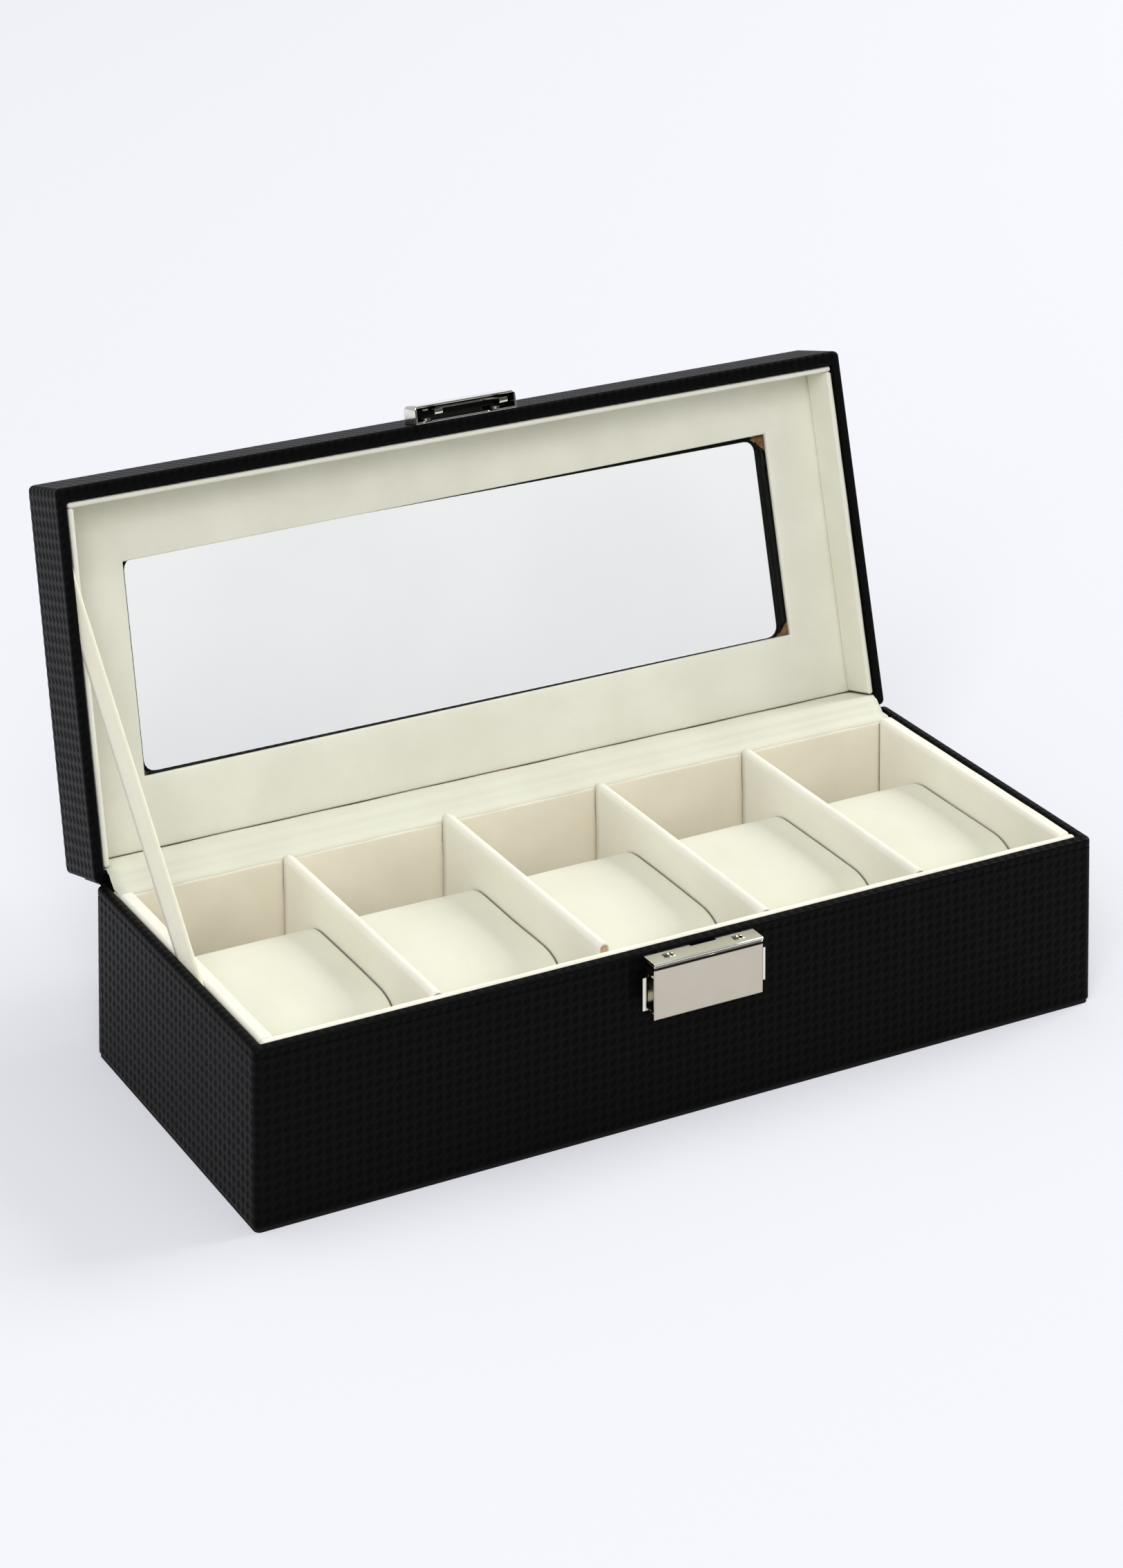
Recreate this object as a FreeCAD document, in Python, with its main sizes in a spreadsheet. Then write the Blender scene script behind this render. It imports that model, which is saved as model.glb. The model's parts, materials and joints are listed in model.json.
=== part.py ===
import FreeCAD, Part
import math
import os
import re
import Sketcher
from FreeCAD import Vector

# A five-place watch box with a hinged, windowed lid, in millimetres.
# +X runs along the box, +Y to the hinge side, +Z up; the origin is the middle of the underside.
# The lid is drawn shut and then turned open about the hinge line, which is how the box rests.

DIMENSIONS = {
    # the box as a whole
    "box_length": 280,
    "box_width": 115,
    "base_height": 52,
    "lid_height": 26,
    "open_angle": 105,
    "closing_gap": 0.3,
    "corner_round": 1.8,
    "rim_round": 1.2,
    "lid_top_round": 2.2,
    # sheets and boards of the base
    "leather": 0.6,
    "wall_board": 2.4,
    "bottom_sheet": 1,
    "sheet_inset": 0.4,
    "cover_turn_in": 12,
    "bottom_board": 3,
    "floor_lining": 0.8,
    "lining_proud": 0.2,
    "ribbon_slot": 0.5,
    "side_lining": 5,
    "front_lining": 2.8,
    "front_lining_gap": 0.1,
    "back_lining": 5,
    "back_lining_round": 1.5,
    # dividers and pillows
    "divider_pitch": 54,
    "divider_core": 2.5,
    "velvet": 0.5,
    "divider_two_lift": 1.5,
    "divider_two_gap": 1,
    "pillow_width": 48,
    "pillow_depth": 68,
    "pillow_height": 35,
    "pillow_shift": 1,
    "pillow_clearance": 0.3,
    "pillow_end_round": 12,
    "pillow_side_round": 2.5,
    # walls and linings of the lid
    "lid_front_board": 3.9,
    "lid_back_board": 2.6,
    "lid_lining": 1.9,
    "lid_lining_recess": 0.6,
    "lid_inner_depth": 14.5,
    "lid_panel": 2,
    "lid_panel_gap": 0.1,
    "spacer_board": 3,
    # the window
    "window_length": 227.2,
    "window_front": 88.9,
    "window_back": 25.3,
    "window_round": 3.5,
    "window_flare": 4.5,
    "window_turn_in": 6,
    "panel_opening_length": 232.4,
    "panel_opening_front": 89.9,
    "panel_opening_back": 25.1,
    "spacer_margin": 5.5,
    "pane": 1.6,
    "pane_lap": 6.6,
    "pane_room": 0.2,
    "pane_corner": 0.5,
    # hinge leather, hinge cloth and ribbon
    "hinge_leather_sheet": 0.5,
    "hinge_leather_reach": 14,
    "hinge_leather_fold": 1.2,
    "hinge_cloth_sheet": 0.4,
    "hinge_cloth_room": 0.7,
    "ribbon_width": 12.5,
    "ribbon_sheet": 0.4,
    "ribbon_tail": 15,
    "ribbon_base_spot": -5,
    "ribbon_lid_spot": 77,
    # latch on the base
    "metal": 0.6,
    "metal_edge_round": 0.45,
    "latch_length": 36.5,
    "latch_projection": 6.8,
    "latch_bottom": 34.4,
    "latch_top": 51,
    "button_gap": 0.2,
    "latch_travel": 1.2,
    "sliding_room": 0.3,
    "back_plate_length": 34,
    "bend_relief_inner": 13.5,
    "bend_relief_outer": 14.7,
    "bend_relief_depth": 0.8,
    "spring_view_left": -3.2,
    "spring_view_right": 5.5,
    "spring_view_depth": 1.6,
    "window_behind_claw": 2,
    "ear_tip": 20.5,
    "ear_shoulder": 0.7,
    "ear_stop_room": 0.1,
    "ear_plane": 3.5,
    "ear_bottom": 36.7,
    "ear_top": 46.4,
    "claw_spot": 11.6,
    "claw_width": 2.8,
    "claw_plane": 3.6,
    "claw_sheet": 0.7,
    "barb_reach": 1,
    "barb_height": 0.8,
    "claw_drop": 3.7,
    "claw_strip_length": 28,
    "catch_room": 0.2,
    "spring_half": 8,
    "spring_sheet": 0.4,
    "spring_bottom": 39.5,
    "spring_height": 9.5,
    # strike on the lid
    "strike_length": 36,
    "strike_height": 8.5,
    "strike_projection": 5.6,
    "strike_recess": 0.4,
    "strike_round": 1.4,
    # nails
    "nail_head_radius": 1.6,
    "nail_head": 0.6,
    "nail_radius": 0.6,
    "nail_length": 3.5,
    "nail_spot": 12.5,
    "latch_nail_height": 40,
}

doc = FreeCAD.newDocument("WatchBox")
sheet = doc.addObject("Spreadsheet::Sheet", "Sizes")
for row, (alias, number) in enumerate(DIMENSIONS.items(), start=1):
    sheet.set(f"A{row}", alias)
    sheet.set(f"B{row}", str(number))
    sheet.setAlias(f"B{row}", alias)
doc.recompute()

ALIAS = re.compile(r"\b(" + "|".join(sorted(DIMENSIONS, key=len, reverse=True)) + r")\b")


def formula(text):
    """An expression over the sheet's cells, from one written with their plain names."""
    return ALIAS.sub(r"Sizes.\1", text)


def value(text):
    """What a formula comes to, as a plain number."""
    return float(sheet.evalExpression(formula(text)))


# Places that several pieces share, each a formula over the sheet.
HALF_LENGTH = "box_length / 2"
HALF_WIDTH = "box_width / 2"
BOARD_X = f"({HALF_LENGTH} - leather)"
BOARD_Y = f"({HALF_WIDTH} - leather)"
INSIDE_X = f"({BOARD_X} - wall_board)"
INSIDE_Y = f"({BOARD_Y} - wall_board)"
BOARD_FLOOR = "(bottom_sheet + leather)"
BOARD_TOP = "(base_height - leather)"
LINING_FLOOR = f"({BOARD_FLOOR} + bottom_board + floor_lining)"
LINING_TOP = "(base_height + lining_proud)"
LINING_X = f"({INSIDE_X} - ribbon_slot)"
LINING_Y = f"({INSIDE_Y} - front_lining_gap)"
ROOM_X = f"({LINING_X} - side_lining)"
ROOM_FRONT = f"(-{LINING_Y} + front_lining)"
BACK_LINING_Y = f"({INSIDE_Y} - ribbon_slot)"
ROOM_BACK = f"({BACK_LINING_Y} - back_lining)"
DIVIDER_HALF = "(divider_core / 2 + velvet)"

RIM = "(base_height + closing_gap)"
LID_TOP = f"({RIM} + lid_height)"
LID_BOARD_BOTTOM = f"({RIM} + leather)"
LID_BOARD_TOP = f"({LID_TOP} - leather)"
PANEL_BOTTOM = f"({RIM} + lid_inner_depth)"
SPACER_BOTTOM = f"({PANEL_BOTTOM} + lid_panel)"
FRAME_BOTTOM = f"({SPACER_BOTTOM} + spacer_board)"
PANE_TOP = f"({FRAME_BOTTOM} - leather)"
LID_FRONT_Y = f"({BOARD_Y} - lid_front_board)"
LID_BACK_Y = f"({BOARD_Y} - lid_back_board)"
LID_LINING_BOTTOM = f"({RIM} + lid_lining_recess)"
WINDOW_X = "(window_length / 2)"
WINDOW_FRONT_Y = f"({HALF_WIDTH} - window_front)"
WINDOW_BACK_Y = f"({HALF_WIDTH} - window_back)"

HINGE_Y = HALF_WIDTH
HINGE_Z = "(base_height + closing_gap / 2)"
OPENING_TURN = "rotation(vector(1; 0; 0); -open_angle)"
OPENING = f"placement(vector(0; 0; 0); {OPENING_TURN}; vector(0; {HINGE_Y}; {HINGE_Z}))"


NO_TURN = "rotation(vector(1; 0; 0); 0)"


def placed_at(corner, turn=NO_TURN):
    """A placement formula that puts a piece's own origin at a corner given as three formulas."""
    return "placement(vector({}; {}; {}); {})".format(*corner, turn)


def open_lid(piece):
    """Turns a piece that was drawn with the lid shut to where the open lid holds it."""
    piece.setExpression("Placement", formula(OPENING))
    return piece


def slab(name, low, high, in_lid=False):
    """A board between two corners, each given as three formulas."""
    board = doc.addObject("Part::Box", name)
    for side, start, end in zip(("Length", "Width", "Height"), low, high):
        board.setExpression(side, formula(f"({end}) - ({start})"))
    spot = placed_at(low)
    board.setExpression("Placement", formula(f"{OPENING} * {spot}" if in_lid else spot))
    return board


def rod(name, radius, length, start, direction):
    """A round bar from a start point along "x" or "y" (or "-y")."""
    turns = {
        "x": "rotation(vector(0; 1; 0); 90)",
        "y": "rotation(vector(1; 0; 0); -90)",
        "-y": "rotation(vector(1; 0; 0); 90)",
    }
    bar = doc.addObject("Part::Cylinder", name)
    bar.setExpression("Radius", formula(radius))
    bar.setExpression("Height", formula(length))
    bar.setExpression("Placement", formula(placed_at(start, turns[direction])))
    return bar


def joined(name, *shapes):
    union = doc.addObject("Part::MultiFuse", name)
    union.Shapes = list(shapes)
    union.Refine = True
    return union


def cut_from(name, base, *tools):
    result = doc.addObject("Part::Cut", name)
    result.Base = base
    result.Tool = tools[0] if len(tools) == 1 else joined(name + "_tools", *tools)
    return result


def rounded(name, source, radius, picks):
    """The source with every edge that the picks function accepts rounded."""
    doc.recompute()
    size = value(radius)
    piece = doc.addObject("Part::Fillet", name)
    piece.Base = source
    piece.Edges = [(i, size, size) for i, edge in enumerate(source.Shape.Edges, start=1) if picks(edge)]
    return piece


def runs_along(edge, axis):
    """True for a straight edge parallel to one of "x", "y" or "z"."""
    span = edge.BoundBox
    lengths = {"x": span.XLength, "y": span.YLength, "z": span.ZLength}
    return lengths.pop(axis) > 0.01 and max(lengths.values()) < 0.01


def upright(edge):
    return runs_along(edge, "z")


def at_height(edge, height):
    return abs(edge.BoundBox.ZMin - height) < 0.01 and abs(edge.BoundBox.ZMax - height) < 0.01


def at_depth(edge, depth):
    return abs(edge.BoundBox.YMin - depth) < 0.01 and abs(edge.BoundBox.YMax - depth) < 0.01


def origin_plane(body, role):
    return next(item for item in body.Origin.OriginFeatures if item.Role == role)


def sketch_on(body, name, role, lift):
    """An empty sketch on one of the body's own planes, lifted along that plane's normal."""
    sketch = body.newObject("Sketcher::SketchObject", name)
    sketch.AttachmentSupport = [(origin_plane(body, role), "")]
    sketch.MapMode = "FlatFace"
    sketch.setExpression("AttachmentOffset.Base.z", formula(lift))
    return sketch


def add_rectangle(sketch, left, right, bottom, top):
    """A rectangle whose four sides are driven by formulas measured from the sketch's origin."""
    low = (value(left), value(bottom))
    high = (value(right), value(top))
    corners = [Vector(*low), Vector(high[0], low[1]), Vector(*high), Vector(low[0], high[1])]
    first = sketch.GeometryCount
    for i in range(4):
        sketch.addGeometry(Part.LineSegment(corners[i], corners[(i + 1) % 4]))
    for i in range(4):
        sketch.addConstraint(Sketcher.Constraint("Coincident", first + i, 2, first + (i + 1) % 4, 1))
    for i, direction in enumerate(("Horizontal", "Vertical", "Horizontal", "Vertical")):
        sketch.addConstraint(Sketcher.Constraint(direction, first + i))
    for kind, point, text in (
        ("DistanceX", (first, 1), left),
        ("DistanceX", (first + 1, 2), right),
        ("DistanceY", (first, 1), bottom),
        ("DistanceY", (first + 2, 1), top),
    ):
        place = sketch.addConstraint(Sketcher.Constraint(kind, -1, 1, *point, value(text)))
        sketch.setExpression(f"Constraints[{place}]", formula(text))


def add_circle(sketch, across, up, radius):
    centre = Vector(value(across), value(up))
    ring = sketch.addGeometry(Part.Circle(centre, Vector(0, 0, 1), value(radius)))
    for constraint, text in (
        (Sketcher.Constraint("Radius", ring, value(radius)), radius),
        (Sketcher.Constraint("DistanceX", -1, 1, ring, 3, centre.x), across),
        (Sketcher.Constraint("DistanceY", -1, 1, ring, 3, centre.y), up),
    ):
        place = sketch.addConstraint(constraint)
        sketch.setExpression(f"Constraints[{place}]", formula(text))


def mirrored_pair(left, right, bottom, top):
    """A rectangle on the +X side and its twin on the -X side."""
    return [(left, right, bottom, top), (f"-({right})", f"-({left})", bottom, top)]


def pad(body, role, lift, length, rectangles):
    """Adds material over the rectangles, from the lifted plane along its normal."""
    sketch = sketch_on(body, f"{body.Name}_outline", role, lift)
    for sides in rectangles:
        add_rectangle(sketch, *sides)
    feature = body.newObject("PartDesign::Pad", f"{body.Name}_pad")
    feature.Profile = sketch
    feature.setExpression("Length", formula(length))
    doc.recompute()
    return feature


def pocket(body, role, lift, length, rectangles=(), circles=(), along_normal=False):
    """Cuts the outlines away, against the plane's normal unless along_normal is set."""
    before = body.Shape.Volume
    sketch = sketch_on(body, f"{body.Name}_cut_outline", role, lift)
    for sides in rectangles:
        add_rectangle(sketch, *sides)
    for round_hole in circles:
        add_circle(sketch, *round_hole)
    feature = body.newObject("PartDesign::Pocket", f"{body.Name}_pocket")
    feature.Profile = sketch
    feature.setExpression("Length", formula(length))
    feature.Reversed = along_normal
    doc.recompute()
    if body.Shape.Volume >= before - 1e-6:
        raise RuntimeError(f"a pocket of {body.Label} cuts nothing")
    return feature


def soften(body, radius, picks):
    """Rounds the edges of a body's last feature that the picks function accepts."""
    tip = body.Tip
    names = [f"Edge{i}" for i, edge in enumerate(tip.Shape.Edges, start=1) if picks(edge)]
    feature = body.newObject("PartDesign::Fillet", f"{body.Name}_fillet")
    feature.Base = (tip, names)
    feature.setExpression("Radius", formula(radius))
    doc.recompute()
    return feature


def band(name, wire, thickness, half_span):
    """A sheet laid on one side of a wire in the YZ plane, centred along X; the sign picks the side."""
    face = wire.makeOffset2D(thickness, 2, True, True, False)
    face.translate(Vector(-half_span, 0, 0))
    piece = doc.addObject("Part::Feature", name)
    piece.Shape = face.extrude(Vector(2 * half_span, 0, 0))
    return piece


# ---------------------------------------------------------------- base

def long_wall(name, outer, inner, bottom, top):
    """A wall board as long as the box, its two outer corners rounded under the leather."""
    near, far = sorted((outer, inner), key=value)
    blank = slab(name + "_blank", (f"-{BOARD_X}", near, bottom), (BOARD_X, far, top))
    face = value(outer)
    return rounded(name, blank, "corner_round - leather", lambda e: upright(e) and at_depth(e, face))


def base_boards():
    """The wooden tray: four walls standing round a bottom board."""
    pieces = [
        long_wall("base_front_wall", f"-{BOARD_Y}", f"-{INSIDE_Y}", BOARD_FLOOR, BOARD_TOP),
        long_wall("base_back_wall", BOARD_Y, INSIDE_Y, BOARD_FLOOR, BOARD_TOP),
    ]
    for name, left, right in (
        ("base_left_wall", f"-{BOARD_X}", f"-{INSIDE_X}"),
        ("base_right_wall", INSIDE_X, BOARD_X),
    ):
        pieces.append(slab(name, (left, f"-{INSIDE_Y}", BOARD_FLOOR), (right, INSIDE_Y, BOARD_TOP)))
    pieces.append(
        slab(
            "base_bottom_board",
            (f"-{INSIDE_X}", f"-{INSIDE_Y}", BOARD_FLOOR),
            (INSIDE_X, INSIDE_Y, f"{BOARD_FLOOR} + bottom_board"),
        )
    )
    return pieces


def base_cover():
    """One leather wrap: outside of the walls, folded over the rim and turned in underneath."""
    block = slab(
        "base_cover_block",
        (f"-({HALF_LENGTH})", f"-({HALF_WIDTH})", "bottom_sheet"),
        (HALF_LENGTH, HALF_WIDTH, "base_height"),
    )
    corners = rounded("base_cover_corners", block, "corner_round", upright)
    top = value("base_height")
    outside = rounded("base_cover_outside", corners, "rim_round", lambda e: at_height(e, top))
    boards = slab(
        "base_cover_boards",
        (f"-{BOARD_X}", f"-{BOARD_Y}", BOARD_FLOOR),
        (BOARD_X, BOARD_Y, BOARD_TOP),
    )
    board_space = rounded("base_cover_board_space", boards, "corner_round - leather", upright)
    mouth = slab(
        "base_cover_mouth",
        (f"-{INSIDE_X}", f"-{INSIDE_Y}", BOARD_FLOOR),
        (INSIDE_X, INSIDE_Y, "base_height + 1"),
    )
    underside = slab(
        "base_cover_underside",
        (f"-({HALF_LENGTH} - cover_turn_in)", f"-({HALF_WIDTH} - cover_turn_in)", "0"),
        (f"{HALF_LENGTH} - cover_turn_in", f"{HALF_WIDTH} - cover_turn_in", BOARD_FLOOR),
    )
    nail_holes = nail_shanks("base_cover_holes", "latch_nail_height")
    return cut_from("base_cover", outside, board_space, mouth, underside, *nail_holes)


def base_underside_and_floor():
    """The sheet that hides the turned-in leather, and the velvet on the floor."""
    edge_x = f"({HALF_LENGTH} - sheet_inset)"
    edge_y = f"({HALF_WIDTH} - sheet_inset)"
    blank = slab("bottom_sheet_blank", (f"-{edge_x}", f"-{edge_y}", "0"), (edge_x, edge_y, "bottom_sheet"))
    under = rounded("bottom_sheet", blank, "corner_round", upright)
    floor = slab(
        "floor_lining",
        (f"-{INSIDE_X}", f"-{INSIDE_Y}", f"{BOARD_FLOOR} + bottom_board"),
        (INSIDE_X, INSIDE_Y, LINING_FLOOR),
    )
    return [under, floor]


def round_topped(name, axis, low, high):
    """A velvet-covered board with a half-round top edge, running along "x" or "y"."""
    across = 1 if axis == "x" else 0
    radius = f"(({high[across]}) - ({low[across]})) / 2"
    crown = f"({high[2]}) - {radius}"
    board = slab(name + "_board", low, (high[0], high[1], crown))
    start = list(low)
    start[across] = f"({low[across]}) + {radius}"
    start[2] = crown
    along = 0 if axis == "x" else 1
    top = rod(name + "_top", radius, f"({high[along]}) - ({low[along]})", start, axis)
    return joined(name, board, top)


def base_linings():
    """Four velvet-covered boards that stand on the floor inside the walls."""
    front_low = (f"-{LINING_X}", f"-{LINING_Y}", LINING_FLOOR)
    front = round_topped("front_lining", "x", front_low, (LINING_X, ROOM_FRONT, LINING_TOP))
    left_low = (f"-{LINING_X}", ROOM_FRONT, LINING_FLOOR)
    left = round_topped("left_lining", "y", left_low, (f"-{ROOM_X}", ROOM_BACK, LINING_TOP))
    right_low = (ROOM_X, ROOM_FRONT, LINING_FLOOR)
    right = round_topped("right_lining", "y", right_low, (LINING_X, ROOM_BACK, LINING_TOP))
    blank = slab(
        "back_lining_blank", (f"-{LINING_X}", ROOM_BACK, LINING_FLOOR), (LINING_X, BACK_LINING_Y, BOARD_TOP)
    )
    doc.recompute()
    top = value(BOARD_TOP)
    inner = value(ROOM_BACK)
    back = rounded(
        "back_lining", blank, "back_lining_round", lambda e: at_height(e, top) and at_depth(e, inner)
    )
    return [front, left, right, back]


def divider(number):
    """A thin board in a folded velvet sleeve; the second one sits a little high and short of the front."""
    middle = f"({number} - 2.5) * divider_pitch"
    lift = "divider_two_lift" if number == 2 else "0"
    front = f"{ROOM_FRONT} + divider_two_gap" if number == 2 else ROOM_FRONT
    floor = f"{LINING_FLOOR} + {lift}"
    top = f"{LINING_TOP} + {lift}"
    core = round_topped(
        f"divider_{number}_core",
        "y",
        (f"{middle} - divider_core / 2", front, floor),
        (f"{middle} + divider_core / 2", ROOM_BACK, f"{top} - velvet"),
    )
    outer = round_topped(
        f"divider_{number}_wrap",
        "y",
        (f"{middle} - {DIVIDER_HALF}", front, floor),
        (f"{middle} + {DIVIDER_HALF}", ROOM_BACK, top),
    )
    return [core, cut_from(f"divider_{number}_sleeve", outer, core)]


def pillow(number):
    """A soft watch pillow, rounded front and back where the strap goes round it."""
    outer_middle = f"(1.5 * divider_pitch + {DIVIDER_HALF} + {ROOM_X}) / 2"
    middle = {
        1: f"-({outer_middle})",
        2: "-divider_pitch",
        3: "0",
        4: "divider_pitch",
        5: outer_middle,
    }[number]
    floor = f"{LINING_FLOOR} + pillow_clearance"
    blank = slab(
        f"pillow_{number}_blank",
        (f"{middle} - pillow_width / 2", "pillow_shift - pillow_depth / 2", floor),
        (f"{middle} + pillow_width / 2", "pillow_shift + pillow_depth / 2", f"{floor} + pillow_height"),
    )
    ends = rounded(f"pillow_{number}_ends", blank, "pillow_end_round", lambda e: runs_along(e, "x"))
    doc.recompute()
    sides = (value(f"{middle} - pillow_width / 2"), value(f"{middle} + pillow_width / 2"))
    return rounded(
        f"pillow_{number}",
        ends,
        "pillow_side_round",
        lambda e: e.BoundBox.XLength < 0.01 and min(abs(e.BoundBox.XMin - x) for x in sides) < 0.01,
    )


# ---------------------------------------------------------------- latch

SIDES = (("left", "-"), ("right", ""))
PLATE_FRONT = f"({HALF_WIDTH} + metal)"


def nail_bars(prefix, radius, length, height, direction):
    """A round bar at each of a lock plate's two nail places, starting at the plate's front face."""
    return [
        rod(f"{prefix}_{side}", radius, length, (f"{sign}nail_spot", f"-{PLATE_FRONT}", height), direction)
        for side, sign in SIDES
    ]


def nail_shanks(prefix, height):
    return nail_bars(prefix, "nail_radius", "nail_length", height, "y")


def nails(name, height):
    """A pair of flat-headed nails."""
    heads = nail_bars(name + "_head", "nail_head_radius", "nail_head", height, "-y")
    return joined(name, *nail_shanks(name + "_shank", height), *heads)


def nail_holes(body, height):
    """Drills a lock plate for its two nails."""
    holes = [(f"{sign}nail_spot", height, "nail_radius") for _, sign in SIDES]
    pocket(body, "XZ_Plane", PLATE_FRONT, "metal", circles=holes)


STRIKE_BOTTOM = f"({RIM} + strike_recess)"
STRIKE_TOP = f"({STRIKE_BOTTOM} + strike_height)"
STRIKE_NAIL_HEIGHT = f"({STRIKE_BOTTOM} + strike_height / 2)"
BUTTON_TOP = "(latch_top - metal - button_gap)"
BUTTON_PLANE = f"({HALF_WIDTH} + latch_projection - metal)"
CATCH_BACK = f"({PLATE_FRONT} + latch_travel + sliding_room)"
CLAW_BACK = f"({HALF_WIDTH} + claw_plane)"


def latch_housing():
    """The fixed lock plate: back plate, top flange with two claw windows, and two side ears."""
    body = doc.addObject("PartDesign::Body", "latch_housing")
    half = "back_plate_length / 2"
    pad(body, "XZ_Plane", HALF_WIDTH, "metal", [(f"-{half}", half, "latch_bottom + metal", "latch_top")])
    flange = ("-latch_length / 2", "latch_length / 2", "latch_top - metal", "latch_top")
    pad(body, "XZ_Plane", HALF_WIDTH, "latch_projection", [flange])
    arms = mirrored_pair(f"{half} - metal", half, "ear_bottom + ear_shoulder", "ear_top - ear_shoulder")
    pad(body, "XZ_Plane", HALF_WIDTH, "ear_plane + metal", arms)
    ears = mirrored_pair(f"{half} - metal", "ear_tip", "ear_bottom", "ear_top")
    pad(body, "XZ_Plane", f"{HALF_WIDTH} + ear_plane", "metal", ears)
    window_back = f"-({HALF_WIDTH} + window_behind_claw)"
    windows = mirrored_pair(
        "claw_spot - claw_width / 2 - sliding_room",
        "claw_spot + claw_width / 2 + sliding_room",
        f"-({CLAW_BACK} + claw_sheet + sliding_room)",
        window_back,
    )
    pocket(body, "XY_Plane", "latch_top", "metal", windows)
    wall = f"-({HALF_WIDTH})"
    relief_front = f"-({HALF_WIDTH} + bend_relief_depth)"
    reliefs = mirrored_pair("bend_relief_inner", "bend_relief_outer", relief_front, wall)
    view_front = f"-({HALF_WIDTH} + spring_view_depth)"
    spring_view = ("spring_view_left", "spring_view_right", view_front, wall)
    pocket(body, "XY_Plane", "latch_top", "metal * 3", reliefs + [spring_view])
    nail_holes(body, "latch_nail_height")
    front = -value(f"{HALF_WIDTH} + latch_projection")
    top = value("latch_top")
    soften(body, "metal_edge_round", lambda e: at_depth(e, front) and at_height(e, top))
    return body


def latch_button():
    """The spring-loaded press plate: slotted side flanges and a catch ledge with claw windows."""
    body = doc.addObject("PartDesign::Body", "latch_button")
    half = "latch_length / 2"
    pad(body, "XZ_Plane", BUTTON_PLANE, "metal", [(f"-{half}", half, "latch_bottom", BUTTON_TOP)])
    rear = f"({HALF_WIDTH} + latch_travel + sliding_room)"
    sides = mirrored_pair(f"{half} - metal", half, "latch_bottom", BUTTON_TOP)
    pad(body, "XZ_Plane", rear, f"{BUTTON_PLANE} - {rear}", sides)
    ledge = (f"-({half} - metal)", f"{half} - metal", f"{BUTTON_TOP} - metal", BUTTON_TOP)
    pad(body, "XZ_Plane", CATCH_BACK, f"{BUTTON_PLANE} - {CATCH_BACK}", [ledge])
    slots = mirrored_pair(
        f"{half} - metal - ear_stop_room",
        f"{half} + ear_stop_room",
        "ear_bottom - sliding_room",
        "ear_top + sliding_room",
    )
    slot_depth = f"{BUTTON_PLANE} - ({HALF_WIDTH} + ear_plane - ear_stop_room)"
    pocket(body, "XZ_Plane", BUTTON_PLANE, slot_depth, slots)
    windows = mirrored_pair(
        "claw_spot - claw_width / 2 - sliding_room",
        "claw_spot + claw_width / 2 + sliding_room",
        f"-({CLAW_BACK} + claw_sheet + latch_travel + sliding_room)",
        f"-({CLAW_BACK} - catch_room)",
    )
    pocket(body, "XY_Plane", BUTTON_TOP, "metal", windows)
    front = -value(f"{BUTTON_PLANE} + metal")
    soften(body, "metal_edge_round", lambda e: at_depth(e, front))
    return body


def latch_spring():
    """A bowed leaf between the back plate and the press plate."""
    sag = value(f"{BUTTON_PLANE} - {PLATE_FRONT} - ear_stop_room")
    half = value("spring_half")
    radius = (half * half + sag * sag) / (2 * sag)
    centre = Vector(0, -value(PLATE_FRONT) - radius, value("spring_bottom"))
    up = Vector(0, 0, 1)
    height = value("spring_height")
    ring = Part.makeCylinder(radius, height, centre, up).cut(
        Part.makeCylinder(radius - value("spring_sheet"), height, centre, up)
    )
    reach = 2 * radius
    keep = Part.makeBox(2 * reach, sag, height, Vector(-reach, centre.y + radius - sag, centre.z))
    piece = doc.addObject("Part::Feature", "latch_spring")
    piece.Shape = ring.common(keep)
    return piece


def strike_shell():
    """The lid's half of the lock: a shallow pressed box, open towards the rim."""
    body = doc.addObject("PartDesign::Body", "strike_shell")
    half = "strike_length / 2"
    pad(body, "XZ_Plane", HALF_WIDTH, "strike_projection", [(f"-{half}", half, STRIKE_BOTTOM, STRIKE_TOP)])
    front = -value(f"{HALF_WIDTH} + strike_projection")
    bottom = value(STRIKE_BOTTOM)
    soften(body, "strike_round", lambda e: at_depth(e, front) and not at_height(e, bottom))
    inside = (
        f"-({half} - metal)",
        f"{half} - metal",
        f"-({HALF_WIDTH} + strike_projection - metal)",
        f"-{PLATE_FRONT}",
    )
    pocket(body, "XY_Plane", STRIKE_BOTTOM, "strike_height - metal", [inside], along_normal=True)
    nail_holes(body, STRIKE_NAIL_HEIGHT)
    return open_lid(body)


def strike_claws():
    """One bent strip inside the strike with two barbed claws that drop into the latch."""
    body = doc.addObject("PartDesign::Body", "strike_claws")
    tip = f"({RIM} - claw_drop)"
    strip_bottom = f"({STRIKE_BOTTOM} + strike_height / 3)"
    strip = ("-claw_strip_length / 2", "claw_strip_length / 2", strip_bottom, f"{STRIKE_TOP} - metal")
    pad(body, "XZ_Plane", CLAW_BACK, "claw_sheet", [strip])
    claw = ("claw_spot - claw_width / 2", "claw_spot + claw_width / 2")
    pad(body, "XZ_Plane", CLAW_BACK, "claw_sheet", mirrored_pair(*claw, tip, f"{strip_bottom} + metal"))
    barbs = mirrored_pair(*claw, tip, f"{tip} + barb_height")
    pad(body, "XZ_Plane", f"{CLAW_BACK} - barb_reach", "barb_reach + claw_sheet", barbs)
    low = value(tip)
    back = -value(f"{CLAW_BACK} - barb_reach")
    soften(body, "claw_sheet", lambda e: at_height(e, low) and at_depth(e, back))
    return open_lid(body)


# ---------------------------------------------------------------- lid

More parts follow.
